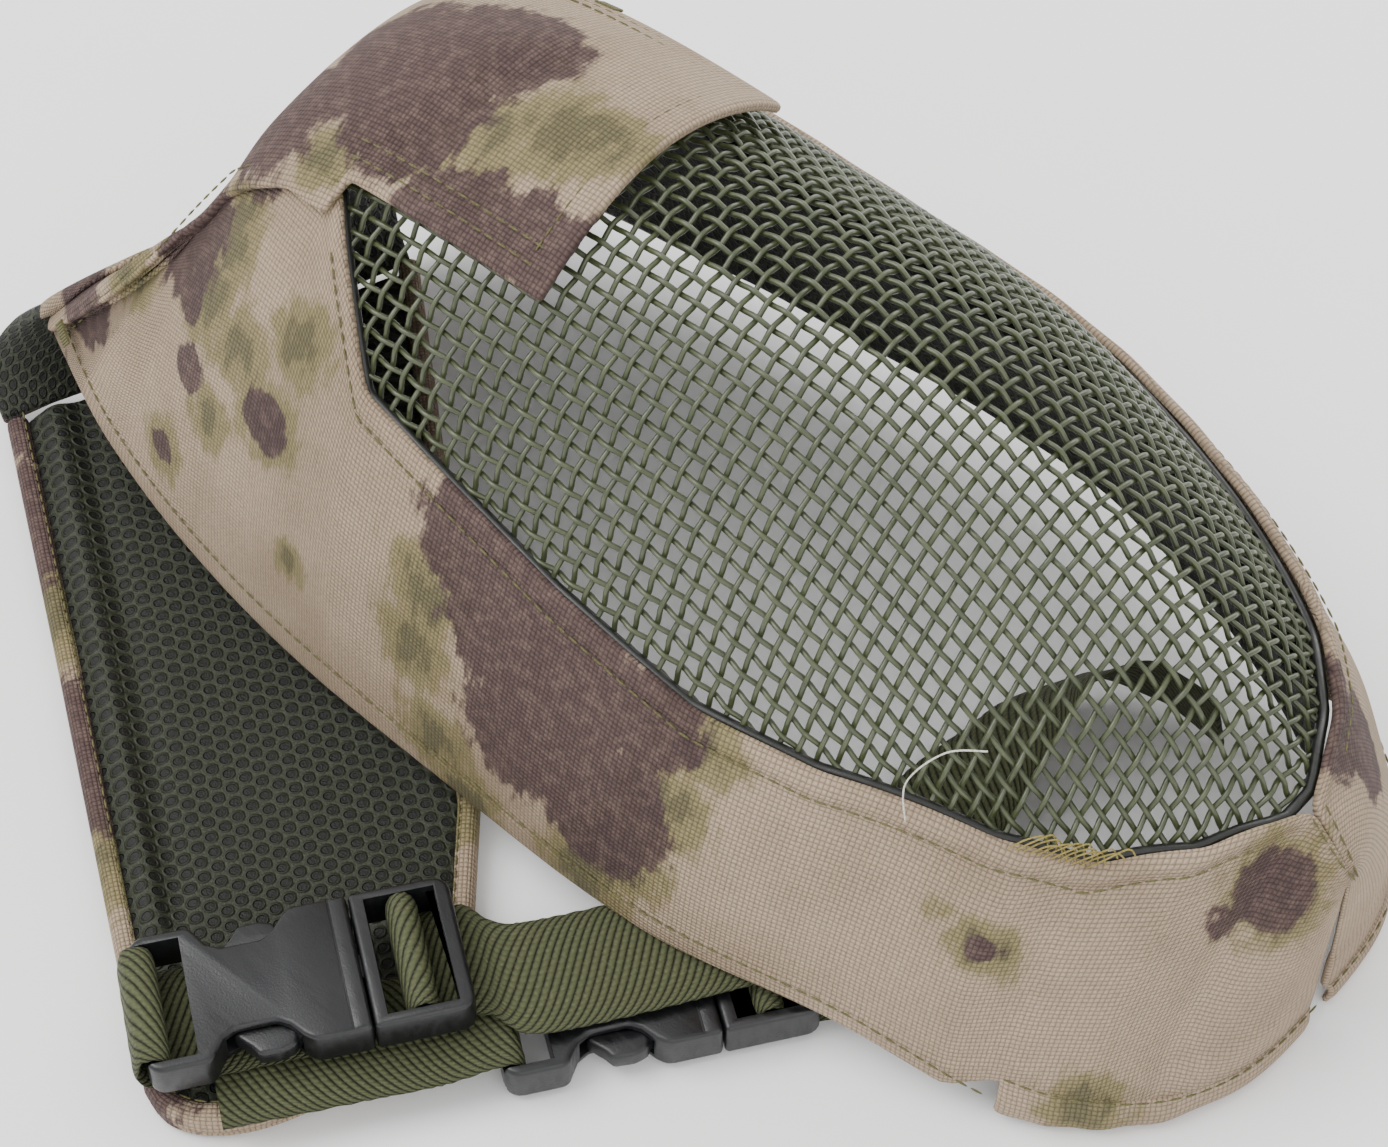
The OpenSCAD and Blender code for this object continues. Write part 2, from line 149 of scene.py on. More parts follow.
def makeWeaveGroup():
    tree, gin, gout = newGroup(
        "plainWeave",
        [("Vector", "NodeSocketVector", None), ("Threads per metre", "NodeSocketFloat", 1000.0)],
        [("Height", "NodeSocketFloat"), ("Thread", "NodeSocketFloat")],
    )
    scaled = scaledVector(tree, gin.outputs["Vector"], gin.outputs["Threads per metre"])
    split = addNode(tree, "ShaderNodeSeparateXYZ", {0: scaled})
    fu = mathNode(tree, "FRACT", split.outputs[0])
    fv = mathNode(tree, "FRACT", split.outputs[1])
    cells = [mathNode(tree, "FLOOR", split.outputs[k]) for k in (0, 1)]
    cell = plus(tree, *cells)
    odd = mathNode(tree, "MODULO", mathNode(tree, "ABSOLUTE", cell), 2.0)
    bu = mathNode(tree, "SINE", times(tree, fu, math.pi))
    bv = mathNode(tree, "SINE", times(tree, fv, math.pi))
    warp, weft = (
        times(tree, mathNode(tree, "POWER", a, 0.6), mathNode(tree, "MULTIPLY_ADD", b, 0.55, 0.45))
        for a, b in ((bu, bv), (bv, bu))
    )
    pick = addNode(tree, "ShaderNodeMix", {0: odd, 2: warp, 3: weft})
    link(tree, pick.outputs[0], gout.inputs["Height"])
    link(tree, odd, gout.inputs["Thread"])
    return tree


def makeHoleGroup():
    tree, gin, gout = newGroup(
        "staggeredHoles",
        [
            ("Vector", "NodeSocketVector", None),
            ("Rows per metre", "NodeSocketFloat", 370.0),
            ("Hole size", "NodeSocketFloat", 0.30),
        ],
        [("Hole", "NodeSocketFloat"), ("Height", "NodeSocketFloat")],
    )
    scaled = scaledVector(tree, gin.outputs["Vector"], gin.outputs["Rows per metre"])
    split = addNode(tree, "ShaderNodeSeparateXYZ", {0: scaled})
    row = mathNode(tree, "FLOOR", split.outputs[1])
    shift = times(tree, mathNode(tree, "MODULO", mathNode(tree, "ABSOLUTE", row), 2.0), 0.5)
    along = plus(tree, times(tree, split.outputs[0], 0.84), shift)
    x = mathNode(tree, "SUBTRACT", mathNode(tree, "FRACT", along), 0.5)
    y = mathNode(tree, "SUBTRACT", mathNode(tree, "FRACT", split.outputs[1]), 0.5)
    y = times(tree, y, 0.8)
    squares = [times(tree, q, q) for q in (x, y)]
    far = mathNode(tree, "SQRT", plus(tree, *squares))
    inner = mathNode(tree, "SUBTRACT", gin.outputs["Hole size"], 0.07)
    hole = mapNode(tree, far, inner, gin.outputs["Hole size"], 1.0, 0.0)
    ring = mapNode(tree, far, gin.outputs["Hole size"], 0.46, 1.0, 0.55)
    height = times(tree, ring, mathNode(tree, "SUBTRACT", 1.0, hole))
    link(tree, hole, gout.inputs["Hole"])
    link(tree, height, gout.inputs["Height"])
    return tree


def makeRibGroup():
    tree, gin, gout = newGroup(
        "twillRibs",
        [
            ("Vector", "NodeSocketVector", None),
            ("Ribs per metre", "NodeSocketFloat", 620.0),
            ("Slant", "NodeSocketFloat", 0.75),
        ],
        [("Height", "NodeSocketFloat")],
    )
    split = addNode(tree, "ShaderNodeSeparateXYZ", {0: gin.outputs["Vector"]})
    lean = times(tree, split.outputs[1], gin.outputs["Slant"])
    slanted = plus(tree, split.outputs[0], lean)
    along = times(tree, slanted, gin.outputs["Ribs per metre"])
    rib = mathNode(tree, "SINE", times(tree, mathNode(tree, "FRACT", along), math.pi))
    cross = times(tree, split.outputs[1], 1100.0)
    bead = mathNode(tree, "SINE", times(tree, mathNode(tree, "FRACT", cross), math.pi))
    round1, beaded = mathNode(tree, "POWER", rib, 0.7), mathNode(tree, "MULTIPLY_ADD", bead, 0.3, 0.7)
    height = times(tree, round1, beaded)
    link(tree, height, gout.inputs["Height"])
    return tree


weaveGroup = makeWeaveGroup()
holeGroup = makeHoleGroup()
ribGroup = makeRibGroup()


def newMaterial(name, rough=0.7, metallic=0.0, specular=0.5, coat=0.0):
    mat = bpy.data.materials.new(name)
    mat.use_nodes = True
    tree = mat.node_tree
    shader = tree.nodes["Principled BSDF"]
    shader.inputs["Roughness"].default_value = rough
    shader.inputs["Metallic"].default_value = metallic
    shader.inputs["Specular IOR Level"].default_value = specular
    shader.inputs["Coat Weight"].default_value = coat
    return mat, tree, shader


def coords(tree, uv=False):
    node = tree.nodes.new("ShaderNodeTexCoord")
    return node.outputs["UV" if uv else "Object"]


def bump(tree, shader, height, distance, strength=1.0):
    node = addNode(tree, "ShaderNodeBump", {"Distance": distance, "Strength": strength, "Height": height})
    link(tree, node.outputs["Normal"], shader.inputs["Normal"])


def groupNode(tree, group, **values):
    inputs = {key.replace("_", " "): value for key, value in values.items()}
    return addNode(tree, "ShaderNodeGroup", inputs, node_tree=group)


cloth = {
    "tan": (0.36, 0.275, 0.195), "tanShade": (0.30, 0.225, 0.155),
    "purple": (0.062, 0.036, 0.037), "purpleLight": (0.105, 0.066, 0.061),
    "olive": (0.19, 0.16, 0.07), "oliveDark": (0.085, 0.08, 0.035),
    "threadsPerMetre": 1050.0, "rough": 0.82,
}


def attribute(tree, name):
    return addNode(tree, "ShaderNodeAttribute", attribute_name=name).outputs["Fac"]


def camoMaterial(name="camoCloth"):
    mat, tree, shader = newMaterial(name, cloth["rough"], specular=0.25)
    place = coords(tree)
    uv = coords(tree, True)
    broad = noiseNode(tree, place, 42, 4, 0.6)
    feather = noiseNode(tree, stretched(tree, place, (330, 150, 150)), 1.0, 4, 0.65)
    fine = noiseNode(tree, place, 420, 3, 0.6)
    shares = [times(tree, field, share) for field, share in ((feather, 0.75), (broad, 0.5))]
    wander = plus(tree, *shares)
    wander = mathNode(tree, "SUBTRACT", wander, 0.62)
    dark = plus(tree, attribute(tree, "blotch"), times(tree, wander, 0.95))
    green = plus(tree, attribute(tree, "fringe"), times(tree, wander, 1.5))
    darkMask = mapNode(tree, dark, 0.42, 0.56)
    greenMask = mapNode(tree, green, 0.34, 0.66)
    greenCore = mapNode(tree, green, 0.72, 0.95)
    base = mixColor(tree, mapNode(tree, broad, 0.35, 0.7), cloth["tan"], cloth["tanShade"])
    olive = mixColor(tree, greenCore, cloth["olive"], cloth["oliveDark"])
    base = mixColor(tree, times(tree, greenMask, 0.85), base, olive)
    purple = mixColor(tree, mapNode(tree, fine, 0.42, 0.68), cloth["purple"], cloth["purpleLight"])
    base = mixColor(tree, times(tree, darkMask, 0.93), base, purple)
    weave = groupNode(tree, weaveGroup, Vector=uv, Threads_per_metre=cloth["threadsPerMetre"])
    # painted shade and highlight: the weave height darkens the colour in the gaps between threads and
    # lightens the thread crests
    weavePaintedShade = mapNode(tree, weave.outputs["Height"], 0.0, 0.75, 0.55, 1.08, False)
    speck = mapNode(tree, noiseNode(tree, place, 1500, 2), 0.3, 0.7, 0.88, 1.12, False)
    link(tree, scaledVector(tree, base, times(tree, weavePaintedShade, speck)), shader.inputs["Base Color"])
    bump(tree, shader, weave.outputs["Height"], 0.00038)
    return mat


def liningMaterial(name, light=(0.019, 0.022, 0.012), holePaintedShade=(0.004, 0.0045, 0.003), rows=370.0):
    mat, tree, shader = newMaterial(name, 0.55, specular=0.35)
    uv = coords(tree, True)
    holes = groupNode(tree, holeGroup, Vector=uv, Rows_per_metre=rows)
    fuzz = noiseNode(tree, coords(tree), 2600, 2)
    # painted shade: the holes are coloured near black for the shade inside them, and the mix is applied twice
    base = mixColor(tree, holes.outputs["Hole"], light, holePaintedShade)
    base = mixColor(tree, mapNode(tree, fuzz, 0.5, 0.75, 0.0, 0.45), base, (0.07, 0.075, 0.05))
    link(tree, mixColor(tree, holes.outputs["Hole"], base, holePaintedShade), shader.inputs["Base Color"])
    height = plus(tree, holes.outputs["Height"], times(tree, fuzz, 0.25))
    bump(tree, shader, height, 0.0011)
    return mat


def webbingMaterial(name="elasticWebbing"):
    mat, tree, shader = newMaterial(name, 0.75, specular=0.3)
    uv = coords(tree, True)
    ribs = groupNode(tree, ribGroup, Vector=uv)
    fuzz = noiseNode(tree, coords(tree), 1800, 3)
    # painted shade and highlight: the rib height darkens the grooves between ribs and lightens the rib crests
    ribPaintedShade = mapNode(tree, ribs.outputs["Height"], 0.1, 0.85)
    base = mixColor(tree, ribPaintedShade, (0.012, 0.014, 0.006), (0.072, 0.080, 0.036))
    base = mixColor(tree, mapNode(tree, fuzz, 0.5, 0.8, 0.0, 0.35), base, (0.17, 0.18, 0.10))
    link(tree, base, shader.inputs["Base Color"])
    bump(tree, shader, ribs.outputs["Height"], 0.0005)
    return mat


def wireMaterial(name="olivePaintedWire"):
    mat, tree, shader = newMaterial(name, 0.38, specular=0.5, coat=0.25)
    place = coords(tree)
    wear = noiseNode(tree, place, 260, 4)
    base = mixColor(tree, mapNode(tree, wear, 0.35, 0.7), (0.036, 0.046, 0.017), (0.058, 0.070, 0.029))
    link(tree, base, shader.inputs["Base Color"])
    polish = mapNode(tree, noiseNode(tree, place, 900, 2), 0.3, 0.7, 0.30, 0.48)
    link(tree, polish, shader.inputs["Roughness"])
    bump(tree, shader, noiseNode(tree, place, 1600, 2), 0.00006)
    return mat


def plasticMaterial(name, color, rough=0.42):
    mat, tree, shader = newMaterial(name, rough, specular=0.5)
    place = coords(tree)
    grain = noiseNode(tree, place, 2400, 2)
    scuff = noiseNode(tree, stretched(tree, place, (90, 900, 300)), 1.0, 4)
    worn = tuple(min(1, c * 2.4 + 0.01) for c in color)
    base = mixColor(tree, mapNode(tree, scuff, 0.58, 0.8, 0.0, 0.35), color, worn)
    link(tree, base, shader.inputs["Base Color"])
    link(tree, mapNode(tree, scuff, 0.3, 0.75, rough - 0.08, rough + 0.12), shader.inputs["Roughness"])
    bump(tree, shader, grain, 0.00004)
    return mat


def threadMaterial(name, color):
    mat, tree, shader = newMaterial(name, 0.7, specular=0.3)
    place = coords(tree)
    ply = noiseNode(tree, place, 3000, 2)
    shaded = tuple(c * 0.55 for c in color)
    link(tree, mixColor(tree, mapNode(tree, ply, 0.35, 0.7), color, shaded), shader.inputs["Base Color"])
    bump(tree, shader, ply, 0.0001)
    return mat


def foamMaterial(name="foam"):
    mat, tree, shader = newMaterial(name, 0.9, specular=0.2)
    cells = noiseNode(tree, coords(tree), 1500, 3)
    base = mixColor(tree, mapNode(tree, cells, 0.4, 0.65), (0.012, 0.012, 0.010), (0.035, 0.035, 0.03))
    link(tree, base, shader.inputs["Base Color"])
    bump(tree, shader, cells, 0.0004)
    return mat


camoMat = camoMaterial()
liningMat = liningMaterial("spacerMesh")
flapMeshMat = liningMaterial("flapSpacerMesh", (0.021, 0.025, 0.014), rows=350.0)
webMat = webbingMaterial()
wireMat = wireMaterial()
trimMat = plasticMaterial("edgeTrim", (0.010, 0.011, 0.009), 0.35)
buckleMat = plasticMaterial("buckleNylon", (0.0055, 0.0058, 0.0068), 0.36)
oliveThread = threadMaterial("oliveThread", (0.125, 0.115, 0.045))
paleThread = threadMaterial("paleThread", (0.72, 0.70, 0.62))
fringeThread = threadMaterial("frayedThread", (0.30, 0.24, 0.07))
foamMat = foamMaterial()


def floorMaterial():
    mat, tree, shader = newMaterial("paleFloor", 0.9, specular=0.1)
    tone = noiseNode(tree, coords(tree), 3, 2)
    link(tree, mixColor(tree, tone, (0.93, 0.93, 0.93), (0.95, 0.95, 0.95)), shader.inputs["Base Color"])
    return mat


floorMesh = bpy.data.meshes.new("floor")
half = studio["floor"] / 2
below = -0.0006
corners = [(-half, -half, below), (half, -half, below), (half, half, below), (-half, half, below)]
floorMesh.from_pydata(corners, [], [(0, 1, 2, 3)])
floorMesh.materials.append(floorMaterial())
floorOb = bpy.data.objects.new("floor", floorMesh)
scene.collection.objects.link(floorOb)
print("camera, light and materials ready")

# Shape of the mask's skin
# Along the mask: share of length, half width, ridge height, rim height (shares), fullness of the arch
stations = [
    (0.00, 0.70, 0.79, 0.22, 2.15), (0.13, 0.83, 0.88, 0.12, 2.10), (0.32, 0.99, 1.04, 0.09, 1.95),
    (0.51, 1.05, 1.05, 0.10, 1.85), (0.67, 1.06, 1.02, 0.11, 1.75), (0.80, 0.94, 0.88, 0.105, 1.70),
    (0.90, 0.81, 0.70, 0.02, 1.70), (1.00, 0.64, 0.40, 0.00, 1.70),
]
openingAt = [
    (0.00, 0.97), (0.03, 0.72), (0.07, 0.48), (0.15, 0.36), (0.26, 0.31), (0.31, 0.32), (0.39, 0.54),
    (0.47, 0.57), (0.56, 0.60), (0.67, 0.62), (0.75, 0.60), (0.85, 0.53), (0.90, 0.46), (0.94, 0.31),
    (0.96, 0.14), (0.97, 0.0), (1.0, 0.0),
]
shell = {"length": 297.0, "halfWidth": 68.0, "ridge": 109.0, "rake": 75.0, "corner": 17.0, "chin": 0.86}
centre = (149.81, -40.69)


def row(x, y, z):
    return Vector(((x - centre[0]) / 1000, (y - centre[1]) / 1000, z / 1000))


def between(table, f):
    for a, b in zip(table, table[1:]):
        if f <= b[0]:
            return a[1] + (b[1] - a[1]) * (max(f, a[0]) - a[0]) / (b[0] - a[0])
    return table[-1][1]


def slope(j, k):
    a, b = max(j - 1, 0), min(j + 1, len(stations) - 1)
    return (stations[b][k] - stations[a][k]) / (stations[b][0] - stations[a][0])


def station(f, k):
    i = 0
    while i < len(stations) - 2 and f > stations[i + 1][0]:
        i += 1
    h = stations[i + 1][0] - stations[i][0]
    s = (f - stations[i][0]) / h
    return (
        (2 * s**3 - 3 * s * s + 1) * stations[i][k] + (s**3 - 2 * s * s + s) * h * slope(i, k)
        + (3 * s * s - 2 * s**3) * stations[i + 1][k] + (s**3 - s * s) * h * slope(i + 1, k)
    )


def skin(f, v, d=0.0):
    wide = station(min(f, 1.0), 1) * shell["halfWidth"]
    if f > shell["chin"]:
        u = (min(f, 1.0) - shell["chin"]) / (1 - shell["chin"])
        wide *= max(0.06, max(0.0, 1 - u**3) ** (1 / 3))
    wide -= d
    top = station(f, 2) * shell["ridge"] - d
    rim = station(f, 3) * shell["ridge"]
    n = station(f, 4)
    s = math.sin(math.radians(90 * v))
    c = math.cos(math.radians(90 * v))
    c = max(c, 0.0)
    x = (shell["length"] - d) * f + shell["rake"] * c * max(0, 1 - f / 0.35) ** 2
    x += shell["corner"] * (1 - c) * max(0, 1 - f / 0.25) ** 2 + 2 * d * c * max(0, 1 - f / 0.25)
    return row(x, wide * math.copysign(abs(s) ** (2 / n), s), rim + (top - rim) * c ** (2 / n))


def opening(f):
    return between(openingAt, f)


def steps(a, b, n):
    return [a + (b - a) * i / n for i in range(n + 1)]


def chinRows(a, n):
    u = (a - shell["chin"]) / (1 - shell["chin"])
    t0 = math.asin(u**1.5) / (math.pi / 2)
    return [
        shell["chin"] + (1 - shell["chin"]) * math.sin(math.pi / 2 * (t0 + (1 - t0) * i / n)) ** (2 / 3)
        for i in range(n + 1)
    ]


# Printed pattern: where each blotch sits on the mask, in millimetres, and how far it spreads
blotches = [
    (157, -57, 69, 17), (175, -63, 56, 18), (187, -69, 37, 15), (147, -58, 67, 12), (193, -61, 59, 11),
    (168, -68, 40, 15), (160, -62, 55, 14), (290, -13, 46, 8), (283, -20, 42, 5), (98, -16, 110, 15),
    (101, 2, 114, 15),
    (86, -8, 105, 17), (72, -20, 92, 15), (120, -27, 106, 10), (141, -26, 106, 10), (132, -25, 107, 9),
    (112, -28, 105, 8), (60, -38, 72, 13), (31, -46, 40, 9), (279, 18, 57, 11), (285, 26, 44, 10),
    (70, -55, 55, 5), (94, -58, 60, 6), (66, -50, 66, 4), (63, -60, 32, 4), (257, -51, 38, 3),
    (20, -55, 6, 14), (60, 40, 80, 22), (150, 70, 30, 26), (200, 66, 40, 16), (90, -112, 2, 20),
    (40, -78, 3, 16),
    (150, -146, 3, 12), (20, -10, 40, 16), (230, 60, 14, 14),
]
fringes = [
    (141, -63, 54, 10), (139, -68, 38, 9), (146, -71, 22, 9), (155, -71, 12, 9), (202, -60, 59, 11),
    (200, -66, 45, 10),
    (193, -71, 28, 11), (186, -73, 18, 10), (70, -48, 71, 11), (73, -42, 81, 9), (98, -50, 78, 8),
    (84, -53, 68, 9),
    (63, -60, 32, 8), (94, -58, 60, 9), (105, -66, 36, 5), (78, -57, 50, 7), (257, -51, 38, 7),
    (250, -54, 45, 4),
    (290, -13, 46, 11), (279, -47, 8, 9), (107, -22, 108, 8), (114, -15, 112, 10), (124, -8, 114, 11),
    (134, -6, 113, 9), (107, 0, 115, 8), (118, -20, 109, 8), (88, -29, 101, 7), (270, 16, 68, 10),
    (285, 22, 58, 9),
    (44, -44, 56, 8), (72, -38, 84, 7), (110, 74, 20, 18), (180, 70, 22, 20), (110, -126, 2, 14),
    (60, -90, 3, 14),
    (30, -20, 50, 12),
]


def spread(point, spots):
    x, y, z = point.x * 1000 + centre[0], point.y * 1000 + centre[1], point.z * 1000
    total = 0.0
    for a, b, c, r in spots:
        q = ((x - a) ** 2 + (y - b) ** 2 + (z - c) ** 2) / (r * r)
        if q < 9:
            total = max(total, math.exp(-0.7 * q))
    return total


# Mesh helpers
def addMesh(name, verts, faces, uvs=None, material=None, edges=(), groups=None):
    mesh = bpy.data.meshes.new(name)
    mesh.from_pydata([tuple(v) for v in verts], list(edges), faces)
    if uvs:
        layer = mesh.uv_layers.new(name="cloth")
        for loop in mesh.loops:
            layer.data[loop.index].uv = uvs[loop.vertex_index]
    if material:
        mesh.materials.append(material)
    for poly in mesh.polygons:
        poly.use_smooth = True
    ob = bpy.data.objects.new(name, mesh)
    scene.collection.objects.link(ob)
    if groups:
        for key, weights in groups.items():
            vg = ob.vertex_groups.new(name=key)
            for i, w in enumerate(weights):
                vg.add([i], w, "REPLACE")
    return ob


def bake(ob):
    bpy.context.view_layer.update()
    graph = bpy.context.evaluated_depsgraph_get()
    made = bpy.data.meshes.new_from_object(
        ob.evaluated_get(graph), preserve_all_data_layers=True, depsgraph=graph
    )
    made.name = ob.name
    ob.modifiers.clear()
    ob.vertex_groups.clear()
    ob.data = made
    for poly in made.polygons:
        poly.use_smooth = True
    return ob


def paint(ob):
    mesh = ob.data
    for key, spots in (("blotch", blotches), ("fringe", fringes)):
        if key in mesh.attributes:
            mesh.attributes.remove(mesh.attributes[key])
        layer = mesh.attributes.new(key, "FLOAT", "POINT")
        layer.data.foreach_set("value", [spread(v.co, spots) for v in mesh.vertices])
    return ob


def faceOut(ob):
    work = bmesh.new()
    work.from_mesh(ob.data)
    bmesh.ops.remove_doubles(work, verts=work.verts, dist=0.000005)
    bmesh.ops.recalc_face_normals(work, faces=work.faces)
    work.to_mesh(ob.data)
    work.free()
    return ob


# A sheet of cloth through a grid of points, given a thickness that can grow towards its hems
def clothSheet(name, grid, thickness, material, hem=None, hemRatio=0.5, levels=1, camo=True):
    rows, cols = len(grid), len(grid[0])
    verts = [p for line in grid for p in line]
    faces = [
        (i * cols + j, i * cols + j + 1, (i + 1) * cols + j + 1, (i + 1) * cols + j)
        for i in range(rows - 1) for j in range(cols - 1)
    ]
    mid = cols // 2
    along = [0.0]
    for i in range(1, rows):
        along.append(along[-1] + (grid[i][mid] - grid[i - 1][mid]).length)
    uvs = []
    for i in range(rows):
        run = [0.0]
        for j in range(1, cols):
            run.append(run[-1] + (grid[i][j] - grid[i][j - 1]).length)
        uvs += [(along[i], r - run[mid]) for r in run]
    groups = {"hem": [w for line in hem for w in line]} if hem else None
    ob = addMesh(name, verts, faces, uvs, material, groups=groups)
    thick = ob.modifiers.new("thick", "SOLIDIFY")
    thick.thickness = thickness
    thick.offset = 0
    if hem:
        thick.vertex_group = "hem"
        thick.thickness_vertex_group = hemRatio
    if levels:
        soft = ob.modifiers.new("soft", "SUBSURF")
        soft.levels = soft.render_levels = levels
    bake(ob)
    faceOut(ob)
    return paint(ob) if camo else ob


def crease(point, a, b, width, depth):
    ab = b - a
    t = max(0.0, min(1.0, (point - a).dot(ab) / ab.length_squared))
    q = (point - a - ab * t).length / width
    return depth * math.exp(-q * q)


def ease(x):
    x = max(0.0, min(1.0, x))
    return x * x * (3 - 2 * x)


# Repeating work, made by node trees
def newTree(name, inputs):
    tree = bpy.data.node_groups.new(name, "GeometryNodeTree")
    tree.interface.new_socket(name="Geometry", in_out="INPUT", socket_type="NodeSocketGeometry")
    ids = {}
    for label, kind in inputs:
        ids[label] = tree.interface.new_socket(name=label, in_out="INPUT", socket_type=kind).identifier
    tree.interface.new_socket(name="Geometry", in_out="OUTPUT", socket_type="NodeSocketGeometry")
    return tree, tree.nodes.new("NodeGroupInput"), tree.nodes.new("NodeGroupOutput"), ids


def finishTree(tree, gin, gout, geometry):
    real = addNode(tree, "GeometryNodeRealizeInstances", {0: geometry})
    inputs = {"Geometry": real.outputs[0], "Material": gin.outputs["Material"]}
    link(tree, addNode(tree, "GeometryNodeSetMaterial", inputs).outputs["Geometry"], gout.inputs[0])


def makeWireTree():
    tree, gin, gout, ids = newTree(
        "wovenWires",
        [
            ("Wire radius", "NodeSocketFloat"), ("Wave height", "NodeSocketFloat"),
            ("Sides", "NodeSocketInt"), ("Material", "NodeSocketMaterial"),
        ],
    )

    def named(label, kind):
        node = addNode(tree, "GeometryNodeInputNamedAttribute", {"Name": label}, data_type=kind)
        return node.outputs["Attribute"]

    wave = mathNode(tree, "SINE", named("phase", "FLOAT"))
    shift = scaledVector(tree, named("lift", "FLOAT_VECTOR"), times(tree, wave, gin.outputs["Wave height"]))
    place = addNode(tree, "GeometryNodeSetPosition", {"Geometry": gin.outputs["Geometry"], "Offset": shift})
    path = addNode(tree, "GeometryNodeMeshToCurve", {"Mesh": place.outputs["Geometry"]}).outputs["Curve"]
    circle = addNode(
        tree, "GeometryNodeCurvePrimitiveCircle",
        {"Resolution": gin.outputs["Sides"], "Radius": gin.outputs["Wire radius"]},
    )
    sweep = addNode(
        tree, "GeometryNodeCurveToMesh",
        {"Fill Caps": True, "Curve": path, "Profile Curve": circle.outputs["Curve"]},
    )
    finishTree(tree, gin, gout, sweep.outputs["Mesh"])
    return tree, ids


def makeStitchTree():
    tree, gin, gout, ids = newTree(
        "stitchRow",
        [
            ("Pitch", "NodeSocketFloat"), ("Stitch length", "NodeSocketFloat"),
            ("Thread radius", "NodeSocketFloat"), ("Material", "NodeSocketMaterial"),
        ],
    )
    path = addNode(tree, "GeometryNodeMeshToCurve", {"Mesh": gin.outputs["Geometry"]}).outputs["Curve"]
    even = addNode(
        tree, "GeometryNodeResampleCurve", {"Curve": path, "Length": gin.outputs["Pitch"]}, mode="LENGTH"
    )
    tangent = addNode(tree, "GeometryNodeInputTangent").outputs[0]
    turn = addNode(tree, "FunctionNodeAlignEulerToVector", {"Vector": tangent}, axis="X")
    ball = addNode(tree, "GeometryNodeMeshUVSphere", {"Segments": 8, "Rings": 5, "Radius": 1.0})
    radius = gin.outputs["Thread radius"]
    size = addNode(
        tree, "ShaderNodeCombineXYZ",
        {0: times(tree, gin.outputs["Stitch length"], 0.5), 1: radius, 2: radius},
    )
    put = addNode(tree, "GeometryNodeInstanceOnPoints", {
        "Points": even.outputs["Curve"], "Instance": ball.outputs["Mesh"],
        "Rotation": turn.outputs["Rotation"], "Scale": size.outputs[0],
    })
    finishTree(tree, gin, gout, put.outputs["Instances"])
    return tree, ids


wireTree, wireIds = makeWireTree()
stitchTree, stitchIds = makeStitchTree()


def grow(ob, tree, ids, **values):
    modifier = ob.modifiers.new("repeat", "NODES")
    modifier.node_group = tree
    for key, value in values.items():
        modifier[ids[key.replace("_", " ")]] = value
    return bake(ob)


def pathMesh(name, paths):
    verts, edges = [], []
    for path in paths:
        start = len(verts)
        verts += path
        edges += [(start + k, start + k + 1) for k in range(len(path) - 1)]
    return addMesh(name, verts, [], edges=edges)


thread = {"pitch": 0.0029, "length": 0.0025, "radius": 0.00022}


def stitches(name, paths, body):
    ob = pathMesh(name, paths)
    grow(
        ob, stitchTree, stitchIds, Pitch=thread["pitch"], Stitch_length=thread["length"],
        Thread_radius=thread["radius"], Material=oliveThread,
    )
    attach(ob, body)
    return ob


def wires(name, paths, radius, material, wave=0.0, sides=8):
    ob = pathMesh(name, [[p for p, _, _ in path] for path in paths])
    phase = ob.data.attributes.new("phase", "FLOAT", "POINT")
    phase.data.foreach_set("value", [ph for path in paths for _, ph, _ in path])
    lift = ob.data.attributes.new("lift", "FLOAT_VECTOR", "POINT")
    lift.data.foreach_set("vector", [c for path in paths for _, _, up in path for c in up])
    return grow(ob, wireTree, wireIds, Wire_radius=radius, Wave_height=wave, Sides=sides, Material=material)


def finishPiece(ob, body, slot, *nodes):
    if nodes:
        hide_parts(*nodes)
    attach(ob, body)
    return ob


# Woven wire face
mesh = {
    "pitch": 0.0036, "wireRadius": 0.00052, "crimp": 0.00050, "depth": 3.0,
    "start": 0.295, "end": 0.964, "pointsPerCrossing": 4, "lap": 0.03,
}


